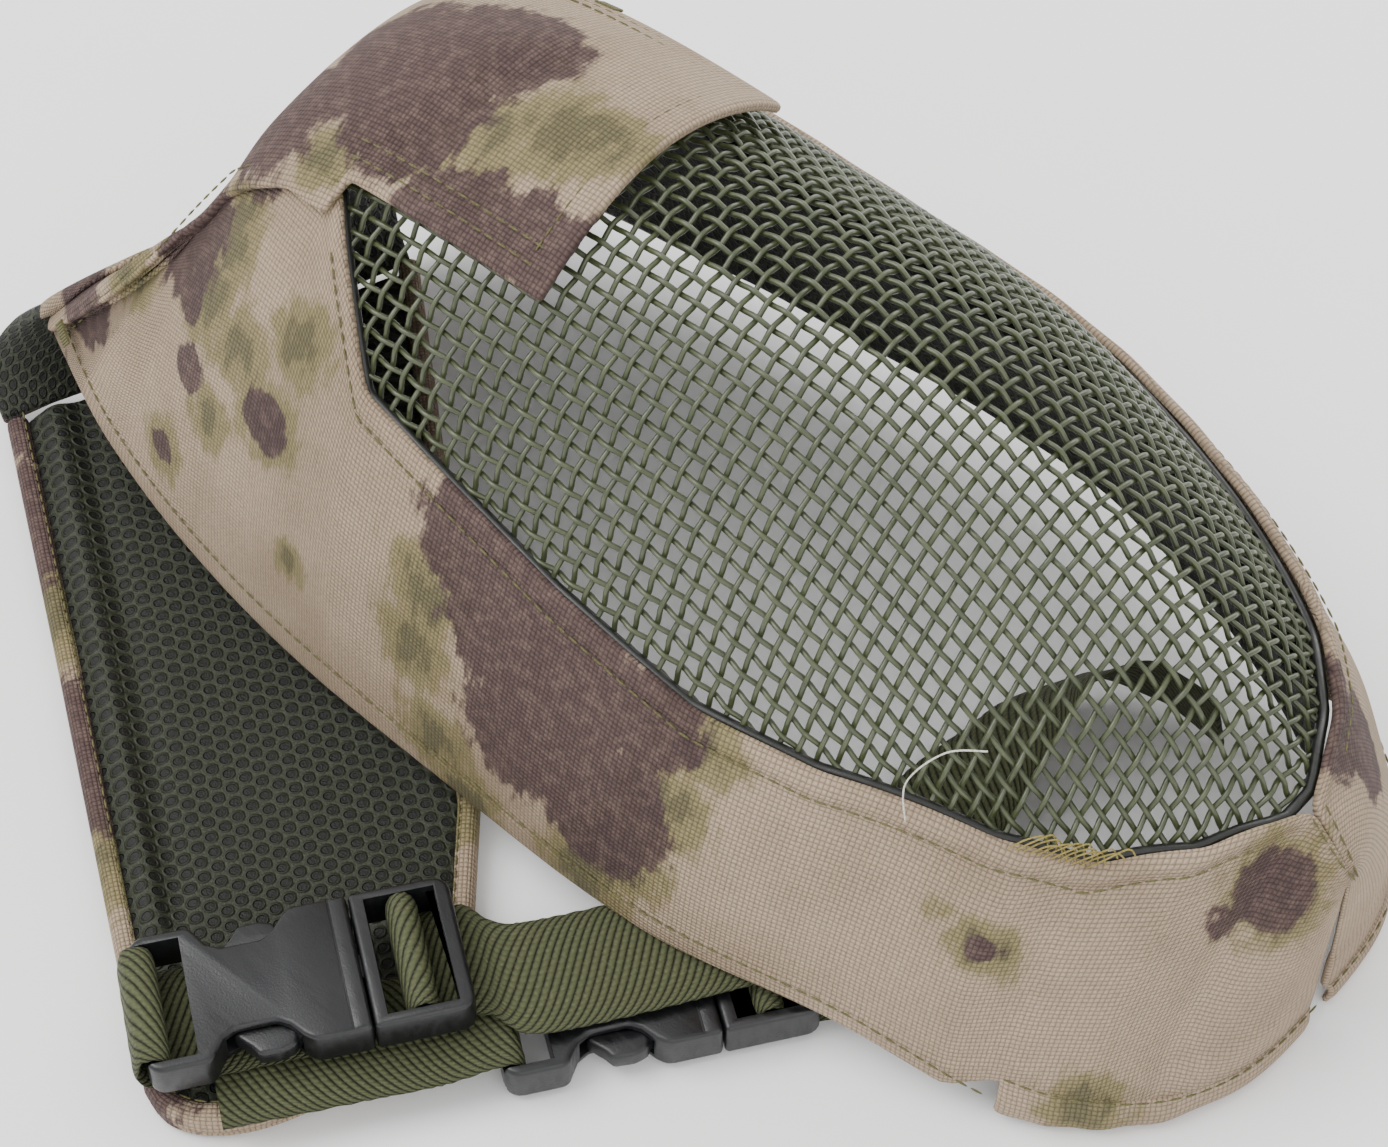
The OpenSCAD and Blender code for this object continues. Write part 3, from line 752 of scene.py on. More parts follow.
def faceWires():
    fine = [mesh["start"] + (mesh["end"] - mesh["start"]) * k / 400 for k in range(401)]
    ridge = [0.0]
    for a, b in zip(fine, fine[1:]):
        ridge.append(ridge[-1] + (skin(b, 0, mesh["depth"]) - skin(a, 0, mesh["depth"])).length)
    total = ridge[-1]

    def atArc(s):
        i = 0
        lo, hi = 0, len(ridge) - 1
        while hi - lo > 1:
            i = (lo + hi) // 2
            if ridge[i] <= s:
                lo = i
            else:
                hi = i
        span = ridge[hi] - ridge[lo]
        return fine[lo] + (fine[hi] - fine[lo]) * (s - ridge[lo]) / max(span, 1e-9)

    perCross = mesh["pointsPerCrossing"]
    count = int(total / mesh["pitch"])
    stripF = [atArc(mesh["pitch"] * k / perCross) for k in range(count * perCross + 1)]
    # across each row: v at every quarter crossing from the ridge outwards
    tables = []
    for f in stripF:
        edge = min(opening(f) + mesh["lap"], 0.66)
        run, vs, arc = [0.0], [0.0], 0.0
        last = skin(f, 0, mesh["depth"])
        n = 60
        for k in range(1, n + 1):
            v = edge * k / n
            p = skin(f, v, mesh["depth"])
            arc += (p - last).length
            last = p
            run.append(arc)
            vs.append(v)
        tables.append((run, vs))

    def vAt(table, s):
        run, vs = table
        if s > run[-1]:
            return None
        lo, hi = 0, len(run) - 1
        while hi - lo > 1:
            i = (lo + hi) // 2
            if run[i] <= s:
                lo = i
            else:
                hi = i
        return vs[lo] + (vs[hi] - vs[lo]) * (s - run[lo]) / max(run[hi] - run[lo], 1e-9)

    def normal(f, v):
        e = 0.004
        a = skin(f + e, v, mesh["depth"]) - skin(f - e, v, mesh["depth"])
        b = skin(f, v + e, mesh["depth"]) - skin(f, v - e, mesh["depth"])
        n = a.cross(b).normalized()
        return n if n.z > 0 else -n

    longWires, crossWires = [], []
    most = int(0.085 / mesh["pitch"])
    for k in range(-most, most + 1):
        path = []
        for i, f in enumerate(stripF):
            v = vAt(tables[i], abs(k) * mesh["pitch"])
            if v is None:
                if len(path) > 3:
                    longWires.append(path)
                path = []
                continue
            v = math.copysign(v, k)
            phase = math.pi * (i / perCross + 0.5 + k)
            path.append((skin(f, v, mesh["depth"]), phase, normal(f, v)))
        if len(path) > 3:
            longWires.append(path)
    for j in range(0, count + 1):
        i = j * perCross
        f = stripF[i]
        side = int(tables[i][0][-1] / mesh["pitch"] * perCross)
        path = []
        for q in range(-side, side + 1):
            v = vAt(tables[i], abs(q) / perCross * mesh["pitch"])
            if v is None:
                continue
            v = math.copysign(v, q)
            phase = math.pi * (q / perCross + 0.5 + j + 1)
            path.append((skin(f, v, mesh["depth"]), phase, normal(f, v)))
        if len(path) > 3:
            crossWires.append(path)
    a = wires("faceWiresLong", longWires, mesh["wireRadius"], wireMat, mesh["crimp"], 7)
    b = wires("faceWiresAcross", crossWires, mesh["wireRadius"], wireMat, mesh["crimp"], 7)
    finishPiece(a, "mask", "wire", "face_mesh")
    finishPiece(b, "mask", "wire", "face_mesh")


faceWires()
print("face wires woven")


def tube(name, path, radius, material, sides=10, flat=1.0):
    verts, faces, uvs = [], [], []
    arc = 0.0
    for i, p in enumerate(path):
        ahead = path[min(i + 1, len(path) - 1)] - path[max(i - 1, 0)]
        ahead.normalize()
        side = ahead.cross(Vector((0, 0, 1)))
        if side.length < 0.1:
            side = ahead.cross(Vector((0, 1, 0)))
        side.normalize()
        up = side.cross(ahead)
        if i:
            arc += (path[i] - path[i - 1]).length
        for k in range(sides):
            t = 2 * math.pi * k / sides
            verts.append(p + side * math.cos(t) * radius + up * math.sin(t) * radius * flat)
            uvs.append((arc, radius * 2 * abs(t - math.pi)))
    for i in range(len(path) - 1):
        for k in range(sides):
            a, b = i * sides + k, i * sides + (k + 1) % sides
            faces.append((a, b, b + sides, a + sides))
    faces.append(tuple(range(sides))[::-1])
    faces.append(tuple((len(path) - 1) * sides + k for k in range(sides)))
    return faceOut(addMesh(name, verts, faces, uvs, material))


def windowPath(side, inset, depth, a=0.30, b=0.965, n=150):
    out = []
    for f in steps(a, b, n):
        v = opening(f)
        reach = (skin(f, v + 0.02) - skin(f, v)).length * 1000 / 0.02
        out.append(skin(f, side * (v + inset / max(reach, 20)), depth))
    return out


trim = {"radius": 0.0011, "depth": 2.3}
trimPath = windowPath(-1, 0.6, trim["depth"]) + windowPath(1, 0.6, trim["depth"])[::-1]
trimOb = tube("meshEdgeTrim", trimPath, trim["radius"], trimMat)
finishPiece(trimOb, "mask", "trim", "mesh_edge_trim")

# Side panels
panel = {"thickness": 0.0021, "flatShare": 0.57, "hem": 6.5, "wrinkle": 0.9, "columns": 40, "rows": 128}


def sidePanel(name, side, node):
    grid, hem = [], []
    rows = steps(0.0, 0.87, panel["rows"] - 30) + chinRows(0.893, 30)
    for f in rows:
        lo = 1.0 if f < 0.89 else 0.902
        hi = max(opening(f), 0.004)
        line, weights = [], []
        width = (skin(f, side * lo) - skin(f, side * hi)).length * 1000
        for j in range(panel["columns"] + 1):
            t = j / panel["columns"]
            v = side * (hi + (lo - hi) * t)
            p = skin(f, v)
            fade = min(1.0, 4 * t) * min(1.0, 3 * (1 - t))
            q = p * 26 + Vector((side * 7.1, 0, 3))
            wave = noise.noise(q) * panel["wrinkle"] * fade
            wave += 0.4 * noise.noise(q * 2.7) * panel["wrinkle"] * fade
            folds = math.sin((f * 62 + t * 3.1 + side) * 1.0) * 0.28 * ease((t - 0.45) / 0.4) * fade
            fromEdge = t * width
            ridge = 0.5 * math.exp(-((fromEdge - 2.2) / 1.6) ** 2)
            ridge -= 0.45 * math.exp(-((fromEdge - 5.2) / 0.9) ** 2)
            pucker = 0.18 * math.sin(f * 297 / 2.9) * math.exp(-((fromEdge - 3.5) / 2.5) ** 2)
            if f > 0.955:
                ridge *= 0.4
            lift = wave + folds + ridge + pucker
            line.append(skin(f, v, 0.6 - lift))
            near = min(t, 1 - t) * width
            front = f * 297
            weights.append(max(1 - ease((near - panel["hem"]) / 1.2), 1 - ease((front - 6) / 1.5)))
        grid.append(line)
        hem.append(weights)
    ob = clothSheet(name, grid, panel["thickness"], camoMat, hem, panel["flatShare"])
    finishPiece(ob, "mask", "camo", node)
    return ob


nearPanel = sidePanel("nearSidePanel", -1, "near_side_panel")
farPanel = sidePanel("farSidePanel", 1, "far_side_panel")


def chinHem(name, side, node):
    grid = []
    for f in chinRows(0.896, 26):
        line = []
        for t in steps(0, 1, 9):
            v = side * (1 - (1 - 0.885) * t)
            bulge = 0.7 * math.sin(math.pi * min(1, t * 1.1)) + 0.25 * math.sin(f * 260)
            line.append(skin(f, v, 0.3 - bulge))
        grid.append(line)
    ob = clothSheet(name, grid, 0.0018, camoMat)
    finishPiece(ob, "mask", "camo", node)


chinHem("chinHemNear", -1, "chin_hem_near")
chinHem("chinHemFar", 1, "chin_hem_far")

# Forehead piece with its tab
forehead = {"thickness": 0.0022, "flatShare": 0.62, "lift": 1.4, "tabEnd": 0.475, "tabHalf": 0.31, "hem": 6.5}


def foreheadHalf(f):
    if f > 0.312:
        return forehead["tabHalf"]
    return min(1.0, opening(f) + 0.05)


def foreheadPiece():
    rows = steps(-0.012, 0.31, 66) + steps(0.314, forehead["tabEnd"], 26)
    grid, hem = [], []
    fold = (skin(0.34, -0.24), skin(0.385, 0.06))
    second = (skin(0.20, -0.30), skin(0.36, 0.02))
    third = (skin(0.10, -0.45), skin(0.30, -0.10))
    cols = 56
    for f in rows:
        halfV = foreheadHalf(max(f, 0))
        line, weights = [], []
        width = (skin(max(f, 0), halfV) - skin(max(f, 0), 0)).length * 1000
        for j in range(cols + 1):
            s = -1 + 2 * j / cols
            v = halfV * s
            tuck = 0.0
            g = f
            if f < 0:
                g, tuck = 0.0, -f * 297
            p = skin(g, v)
            fade = min(1.0, 5 * (1 - abs(s)))
            wave = noise.noise(p * 24 + Vector((2.0, 5.0, 1.0))) * 1.3 * fade
            lift = forehead["lift"] + wave
            lift += (
                crease(p, *fold, 0.006, -2.0) + crease(p, *second, 0.010, 1.4)
                + crease(p, *third, 0.009, -1.2)
            )
            fromSide = (1 - abs(s)) * width
            fromEnd = (forehead["tabEnd"] - f) * 297
            edge = min(fromSide, fromEnd)
            lift += 0.35 * math.exp(-((edge - 2.0) / 1.5) ** 2) - 0.35 * math.exp(-((edge - 5.0) / 0.9) ** 2)
            point = skin(g, v, -lift)
            if tuck:
                inward = (skin(0.03, v) - skin(0.0, v)).normalized()
                point = skin(g, v, -lift + tuck * 0.9) - inward * tuck * 0.0009
            line.append(point)
            front = abs(f) * 297
            weights.append(max(1 - ease((edge - forehead["hem"]) / 1.2), 1 - ease((front - 5) / 2)))
        grid.append(line)
        hem.append(weights)
    ob = clothSheet("foreheadPiece", grid, forehead["thickness"], camoMat, hem, forehead["flatShare"])
    finishPiece(ob, "mask", "camo", "forehead_panel")


foreheadPiece()
print("cloth shell made")

# Linings and pads inside
def liningSheet(name, side, node):
    grid = []
    for f in steps(0.062, 0.918, 90):
        lo, hi = 0.95, min(opening(f) + 0.06, 0.84)
        line = []
        for t in steps(0, 1, 26):
            v = side * (lo + (hi - lo) * t)
            p = skin(f, v)
            edge = math.exp(-(min(t, 1 - t) / 0.08) ** 2)
            d = 6.7 + 0.8 * noise.noise(p * 40) + 1.0 * edge
            line.append(skin(f, v, d))
        grid.append(line)
    ob = clothSheet(name, grid, 0.0032, liningMat, camo=False)
    finishPiece(ob, "mask", "spacer", node)


liningSheet("nearLining", -1, "near_lining")
liningSheet("farLining", 1, "far_lining")



def padDepth(f, v):
    return 4.6 + 3.0 - 1.4 * math.cos(v / 0.3 * math.pi / 2) * math.sin(math.pi * (f - 0.165) / 0.12)


padGrid = [[skin(f, v, padDepth(f, v)) for v in steps(-0.3, 0.3, 20)] for f in steps(0.168, 0.282, 14)]
padOb = clothSheet("foreheadPad", padGrid, 0.0055, foamMat, camo=False)
finishPiece(padOb, "mask", "foam", "forehead_pad")

# Crown yoke
flap = {
    "left": [(15, -62), (66, -95), (130, -137), (152, -151)],
    "right": [(46, 27), (87, -8), (154, -68), (173, -90)],
    "along": (0.83, -0.55), "endBulge": 17.0, "base": 0.6, "top": 7.0,
}
foldNear, foldFar, foldOut = Vector((15, -62, 0)), Vector((46, 27, 0)), Vector((-0.944, 0.329, 0))
yoke = {"thickness": 3.4, "bulge": Vector((-24, 0, -8)), "from": -0.965, "to": 0.6}


def mm(p):
    return Vector((p.x * 1000 + centre[0], p.y * 1000 + centre[1], p.z * 1000))


def yokePoint(i, s):
    v = yoke["from"] + (yoke["to"] - yoke["from"]) * i
    top = mm(skin(0, v)) - (mm(skin(0.04, v)) - mm(skin(0, v))).normalized() * (yoke["thickness"] / 2 + 1.2)
    foot = foldNear.lerp(foldFar, i) + foldOut * (yoke["thickness"] / 2 + 1.7) + Vector((0, 0, 2.6))
    mid = (top + foot) / 2 + yoke["bulge"]
    return top * (1 - s) ** 2 + mid * 2 * s * (1 - s) + foot * s * s


def yokeSheet(name, offset, thickness, material, camo):
    grid = []
    for i in steps(0, 1, 60):
        line = []
        for s in steps(0, 1, 30):
            p = yokePoint(i, s)
            a = yokePoint(i + 0.01, s) - yokePoint(i - 0.01, s)
            b = yokePoint(i, s + 0.01) - yokePoint(i, s - 0.01)
            n = a.cross(b).normalized()
            wave = 0.7 * noise.noise(p * 0.05 + Vector((3, 1, 4))) * math.sin(math.pi * s)
            q = p + n * (offset + wave)
            q.z = max(q.z, 1.3)
            line.append(row(q.x, q.y, q.z))
        grid.append(line)
    ob = clothSheet(name, grid, thickness, material, camo=camo)
    return ob


outerYoke = yokeSheet("yokeCloth", 0.9, 0.0015, camoMat, True)
finishPiece(outerYoke, "mask", "camo", "crown_yoke")
innerYoke = yokeSheet("yokeLining", -0.7, 0.0018, flapMeshMat, False)
finishPiece(innerYoke, "mask", "spacer", "crown_yoke")
print("linings and yoke made")


# Crown flap
def onLine(points, s):
    runs = [0.0]
    for a, b in zip(points, points[1:]):
        runs.append(runs[-1] + math.dist(a, b))
    want = s * runs[-1]
    for k in range(1, len(runs)):
        if want <= runs[k] or k == len(runs) - 1:
            t = (want - runs[k - 1]) / (runs[k] - runs[k - 1])
            a, b = points[k - 1], points[k]
            return Vector((a[0] + (b[0] - a[0]) * t, a[1] + (b[1] - a[1]) * t, 0))


def flapPoint(s, t):
    e = max(0.0, s - 1) / 0.1
    a, b = onLine(flap["left"], min(s, 1)), onLine(flap["right"], min(s, 1))
    p = a.lerp(b, t)
    if e:
        bow = max(0.0, 1 - abs(2 * t - 1) ** 2.6) ** 0.6
        p += Vector((*flap["along"], 0)) * flap["endBulge"] * e * bow
    return p


def flapRows():
    return steps(0, 1, 70) + steps(1.006, 1.1, 14)


def flapPad():
    cols = 44
    rows = flapRows()
    top, bottom = [], []
    for s in rows:
        a, b = [], []
        for t in steps(0, 1, cols):
            inT = 0.026 + t * (1 - 0.052)
            inS = 0.004 + s * 0.982
            p = flapPoint(inS, inT)
            edge = min(t * 90, (1 - t) * 90, s * 170 + 4, (1.1 - s) * 170)
            rise = 1 - math.exp(-max(edge, 0) / 3.2)
            soft = 0.55 * noise.noise(Vector((p.x, p.y, 0)) * 0.035)
            soft += 0.2 * noise.noise(Vector((p.x, p.y, 5)) * 0.11)
            ridge = 2.3 * math.exp(-((t * 90 - 7.5) / 3.4) ** 2)
            ridge -= 1.2 * math.exp(-((t * 90 - 13.5) / 3.0) ** 2)
            ridge *= ease((1.02 - s) / 0.25)
            sag = -0.9 * math.sin(math.pi * t) * ease(s * 2)
            z = 4.0 + 3.1 * rise + (soft + ridge + sag) * rise
            a.append(row(p.x, p.y, z))
            b.append(row(p.x, p.y, 1.9))
        top.append(a)
        bottom.append(b)
    verts = [p for line in top for p in line] + [p for line in bottom for p in line]
    n, m = len(rows), cols + 1
    faces = []
    for i in range(n - 1):
        for j in range(cols):
            q = (i * m + j, i * m + j + 1, (i + 1) * m + j + 1, (i + 1) * m + j)
            faces.append(q)
            faces.append(tuple(k + n * m for k in q[::-1]))
    ring = [j for j in range(m)] + [i * m + cols for i in range(1, n)]
    ring += [(n - 1) * m + j for j in range(cols - 1, -1, -1)] + [i * m for i in range(n - 2, 0, -1)]
    for a, b in zip(ring, ring[1:] + ring[:1]):
        faces.append((a, b, b + n * m, a + n * m))
    uvs = [(p.x * 0.83 - p.y * 0.55, p.x * 0.55 + p.y * 0.83) for p in verts]
    ob = faceOut(addMesh("flapPad", verts, faces, uvs, flapMeshMat))
    soft = ob.modifiers.new("soft", "SUBSURF")
    soft.levels = soft.render_levels = 1
    bake(ob)
    finishPiece(ob, "crown_flap", "spacer", "flap_foam", "flap_lining")


flapPad()


def flapCover():
    grid = []
    for s in flapRows():
        across = [flapPoint(s, t) for t in steps(0, 1, 40)]
        grid.append([row(p.x, p.y, 0.95 + 0.12 * math.sin(p.x * 0.2)) for p in across])
    ob = clothSheet("flapCover", grid, 0.0012, camoMat, levels=1)
    finishPiece(ob, "crown_flap", "camo", "flap_cover")


flapCover()


def flapOutline(inset):
    left = [flapPoint(s, 0.0) for s in steps(0.0, 1.0, 60)]
    end = [flapPoint(1.1, t) for t in steps(0.0, 1.0, 50)]
    right = [flapPoint(s, 1.0) for s in steps(1.0, 0.0, 60)]
    path = left + end[1:-1] + right
    out = []
    for i, p in enumerate(path):
        ahead = path[min(i + 1, len(path) - 1)] - path[max(i - 1, 0)]
        ahead.normalize()
        inward = Vector((-ahead.y, ahead.x, 0))
        out.append(p + inward * inset)
    return out


def flapBinding():
    path = flapOutline(1.9)
    sides = 14
    verts, faces, uvs = [], [], []
    arc = 0.0
    for i, p in enumerate(path):
        ahead = (path[min(i + 1, len(path) - 1)] - path[max(i - 1, 0)]).normalized()
        inward = Vector((-ahead.y, ahead.x, 0))
        if i:
            arc += (path[i] - path[i - 1]).length / 1000
        squeeze = 1 + 0.05 * math.sin(arc * 900) + 0.10 * noise.noise(Vector((arc * 60, 2, 3)))
        for k in range(sides):
            a = 2 * math.pi * k / sides
            c, s = math.cos(a), math.sin(a)
            w = 2.3 * math.copysign(abs(c) ** 0.8, c)
            h = 3.1 * math.copysign(abs(s) ** 0.8, s) * squeeze
            q = p + inward * w + Vector((0, 0, 3.9 + h))
            verts.append(row(q.x, q.y, q.z))
            uvs.append((arc, abs(a - math.pi) * 0.003))
    n = len(path)
    for i in range(n - 1):
        for k in range(sides):
            a, b = i * sides + k, i * sides + (k + 1) % sides
            faces.append((a, b, b + sides, a + sides))
    faces.append(tuple(range(sides))[::-1])
    faces.append(tuple((n - 1) * sides + k for k in range(sides)))
    ob = paint(faceOut(addMesh("flapBinding", verts, faces, uvs, camoMat)))
    finishPiece(ob, "crown_flap", "camo", "flap_binding")
    seam = flapOutline(3.4)
    return [row(p.x, p.y, 6.9) for p in seam]


seamPath = flapBinding()
stitches("flapStitches", [seamPath], "crown_flap")
print("crown flap made")

# Buckles
buckle = {
    "turn": 55.0, "one": (162.4, -121.5, 10.7), "two": (205.0, -77.6, 0.8), "length": 58.0, "height": 8.0,
    "slotHalf": 12.3, "rail": 1.9, "bar": 2.8, "barLow": 1.4, "bodySlot": 6.4, "split": 10.5, "neckHalf": 8.6,
    "gap": 0.35, "edge": 0.9,
}
halfWide = buckle["slotHalf"] + buckle["rail"]
bodyX, plugX = -buckle["length"] / 2, buckle["length"] / 2
barHigh = buckle["height"] - 1.6
neckX = bodyX + buckle["bar"] + buckle["bodySlot"] + 3
gripX = buckle["split"] - 11
cavityX, cavityHalf = neckX + 2, halfWide - 2
plugSlot = (plugX - buckle["split"] - 3 - 2 * buckle["bar"]) / 2
plugBar = buckle["split"] + 3 + plugSlot


def local(at, x, y, z):
    a = math.radians(buckle["turn"])
    return row(
        at[0] + x * math.cos(a) - y * math.sin(a), at[1] + x * math.sin(a) + y * math.cos(a), at[2] + z
    )


def prism(name, outline, z0, z1, at, material=None):
    n = len(outline)
    verts = [local(at, x, y, z0) for x, y in outline] + [local(at, x, y, z1) for x, y in outline]
    faces = [tuple(range(n))[::-1], tuple(range(n, 2 * n))]
    faces += [(k, (k + 1) % n, n + (k + 1) % n, n + k) for k in range(n)]
    return faceOut(addMesh(name, verts, faces, material=material))


def block(name, x0, x1, y0, y1, z0, z1, at):
    return prism(name, [(x0, y0), (x1, y0), (x1, y1), (x0, y1)], z0, z1, at)


def carve(ob, cutters, edge=0.0009, fineEdge=0.00022, limit=28):
    round1 = ob.modifiers.new("round", "BEVEL")
    round1.width = edge
    round1.segments = 4
    round1.limit_method = "ANGLE"
    round1.angle_limit = math.radians(limit)
    for k, cutter in enumerate(cutters):
        cut = ob.modifiers.new(f"cut{k}", "BOOLEAN")
        cut.operation = "DIFFERENCE"
        cut.solver = "EXACT"
        cut.object = cutter
    fine = ob.modifiers.new("fine", "BEVEL")
    fine.width = fineEdge
    fine.segments = 2
    fine.limit_method = "ANGLE"
    fine.angle_limit = math.radians(40)
    bake(ob)
    for cutter in cutters:
        bpy.data.objects.remove(cutter, do_unlink=True)
    for poly in ob.data.polygons:
        poly.use_smooth = True
    ob.data.set_sharp_from_angle(angle=math.radians(40))
    return ob


def arcPoints(cx, cy, r, a0, a1, n=5):
    turns = [math.radians(a0 + (a1 - a0) * k / n) for k in range(n + 1)]
    return [(cx + r * math.cos(a), cy + r * math.sin(a)) for a in turns]


def buckleBody(name, at, body, node):
    r = 3.2
    upper = arcPoints(bodyX + r, halfWide - r, r, 180, 90)
    upper += arcPoints(neckX - 2.2, halfWide - 2.2, 2.2, 90, 20, 4)
    neck = buckle["neckHalf"]
    upper += [(neckX + 1.6, neck + 1.4), (neckX + 4, neck), (gripX - 5, neck), (gripX - 3, neck + 1.4)]
    upper += [(gripX - 1.0, halfWide - 1.6), (gripX + 0.6, halfWide - 0.2), (gripX + 2, halfWide)]
    upper += [(buckle["split"], halfWide)]
    outline = upper + [(x, -y) for x, y in upper[::-1]]
    ob = prism(name, outline, 0, buckle["height"], at, buckleMat)
    low, high = 1.7, buckle["height"] - 1.7
    sh = buckle["slotHalf"]
    cutters = [
        block("c1", bodyX + buckle["bar"], bodyX + buckle["bar"] + buckle["bodySlot"], -sh, sh, -2, 12, at),
        block("c2", bodyX - 2, bodyX + buckle["bar"] + 1, -sh, sh, -2, buckle["barLow"], at),
        block("c3", bodyX - 2, bodyX + buckle["bar"] + 1, -sh, sh, barHigh, 12, at),
        block("c4", cavityX, buckle["split"] + 2, -cavityHalf, cavityHalf, low, high, at),
        block("c5", gripX + 7.4, gripX + 7.8, -halfWide - 1, halfWide + 1, buckle["height"] - 0.25, 12, at),
    ]
    carve(ob, cutters)
    return finishPiece(ob, body, "nylon", node)


def bucklePlug(name, at, body, node):
    x0 = buckle["split"] + buckle["gap"]
    r = 3.0
    side = [(x0, halfWide)] + arcPoints(plugX - r, halfWide - r, r, 90, 0)
    outline = side + [(x, -y) for x, y in side[::-1]]
    ob = prism(name, outline, 0, buckle["height"], at, buckleMat)
    sh = buckle["slotHalf"]
    cutters = [
        block("c1", buckle["split"] + 3, plugBar, -sh, sh, -2, 12, at),
        block("c2", plugBar + buckle["bar"], plugX - buckle["bar"], -sh, sh, -2, 12, at),
        block("c3", buckle["split"] + 2.9, plugX - buckle["bar"] + 0.05, -sh, sh, barHigh, 12, at),
        block("c4", plugBar - 1, plugBar + buckle["bar"] + 1, -sh, sh, -2, buckle["barLow"], at),
        block("c5", plugX - buckle["bar"] - 1, plugX + 2, -sh, sh, -2, buckle["barLow"], at),
    ]
    carve(ob, cutters)
    tongue = block(name + "Tongue", cavityX + 3, x0 + 0.6, -2.5, 2.5, 2.05, 5.95, at)
    tongue.data.materials.append(buckleMat)
    carve(tongue, [], 0.0004, 0.0001)
    finishPiece(tongue, body, "nylon", node)
    return finishPiece(ob, body, "nylon", node)


def buckleArms(name, at, body, node):
    tip, outer = cavityX + 1.2, cavityHalf - 0.7
    outline = [
        (buckle["split"] + 0.2, outer), (gripX, outer), (gripX - 1.8, outer), (gripX - 2.5, halfWide - 1.2),
        (gripX - 5, halfWide - 0.4), (gripX - 9, halfWide - 0.6), (tip + 3, halfWide - 2.4), (tip, outer - 3),
        (tip + 2, outer - 4), (gripX, outer - 2.8), (buckle["split"] + 0.2, outer - 2.8),
    ]
    for side, tag in ((1, "Far"), (-1, "Near")):
        ob = prism(name + tag, [(x, y * side) for x, y in outline], 2.05, 5.95, at, buckleMat)
        carve(ob, [], 0.0009, 0.0001, 20)
        finishPiece(ob, body, "nylon", node)


for key, tag in (("one", "One"), ("two", "Two")):
    at = buckle[key]
    buckleBody("buckle" + tag + "Body", at, "crown_flap", f"buckle_{key}_body")
    bucklePlug("buckle" + tag + "Plug", at, f"plug_{key}", f"buckle_{key}_plug")
    buckleArms("buckle" + tag + "Arm", at, f"plug_{key}", f"buckle_{key}_arms")
print("buckles made")

# Elastic webbing
web = {"width": 24.0, "thickness": 1.25, "lie": 0.9}


def stop(at, x, z, fx, fz):
    a = math.radians(buckle["turn"])
    along = Vector((math.cos(a), math.sin(a), 0))
    side = Vector((math.sin(a), -math.cos(a), 0))
    face = along * fx + Vector((0, 0, fz))
    return (Vector(at) + along * x + Vector((0, 0, z)), side, face.normalized())


def curveBetween(stops, step=1.0):
    out = []
    n = len(stops)
    for i in range(n - 1):
        p0, p1, p2, p3 = (stops[max(0, min(n - 1, i + k))] for k in (-1, 0, 1, 2))
        count = max(3, int((p2[0] - p1[0]).length / step))
        for k in range(count + (1 if i == n - 2 else 0)):
            t = k / count
            parts = []
            for c in range(3):
                a, b, d, e = p0[c], p1[c], p2[c], p3[c]
                if c:
                    parts.append(b.lerp(d, ease(t)).normalized())
                    continue
                m1, m2 = (d - a) * 0.42, (e - b) * 0.42
                m1 = m1 * min(1.0, (d - b).length * 1.6 / max(m1.length, 1e-6))
                m2 = m2 * min(1.0, (d - b).length * 1.6 / max(m2.length, 1e-6))
                parts.append(
                    b * (2 * t**3 - 3 * t * t + 1) + m1 * (t**3 - 2 * t * t + t)
                    + d * (3 * t * t - 2 * t**3) + m2 * (t**3 - t * t)
                )
            out.append(parts)
    return out


def webbing(name, stops, body, node):
    path = curveBetween(stops)
    cols = 22
    verts, faces, uvs = [], [], []
    arc = 0.0
    for i, (p, side, face) in enumerate(path):
        ahead = (path[min(i + 1, len(path) - 1)][0] - path[max(i - 1, 0)][0]).normalized()
        up = side.cross(ahead).normalized()
        if up.dot(face) < 0:
            up = -up
        if i:
            arc += (path[i][0] - path[i - 1][0]).length / 1000
        halfW = web["width"] / 2
        top, bottom = [], []
        for k in range(cols + 1):
            s = -1 + 2 * k / cols
            s = math.sin(s * math.pi / 2)
            t = web["thickness"] / 2 * (1 - abs(s) ** 8) ** 0.5
            t += 0.05 * math.cos(s * halfW * 1.3)
            serrate = 0.12 * math.sin(arc * 3900) * abs(s) ** 12
            c = p + side * s * (halfW + serrate)
            top.append(row(*(c + up * t)))
            bottom.append(row(*(c - up * t)))
        loop = top + bottom[::-1][1:-1]
        verts += loop
        across = [(-1 + 2 * k / cols) * halfW / 1000 for k in range(cols + 1)]
        uvs += [(arc, a) for a in across + across[::-1][1:-1]]
    m = 2 * cols
    for i in range(len(path) - 1):
        for k in range(m):
            a, b = i * m + k, i * m + (k + 1) % m
            faces.append((a, b, b + m, a + m))
    last = (len(path) - 1) * m
    for base, flip in ((0, False), (last, True)):
        for k in range(cols):
            top0, top1 = base + k, base + k + 1
            low0 = base + (m - k) % m if k else base
            low1 = base + m - k - 1 if k + 1 < cols else base + cols
            quad = []
            for q in (top0, top1, low1, low0):
                if q not in quad:
                    quad.append(q)
            if len(quad) > 2:
                faces.append(tuple(quad if flip else quad[::-1]))
    ob = faceOut(addMesh(name, verts, faces, uvs, webMat))
    finishPiece(ob, body, "elastic", node)
    return ob


overBar = barHigh + web["lie"] + 0.8
barMid = plugBar + buckle["bar"] / 2
inFirst, inSecond = plugBar - web["lie"], plugBar + buckle["bar"] + web["lie"]


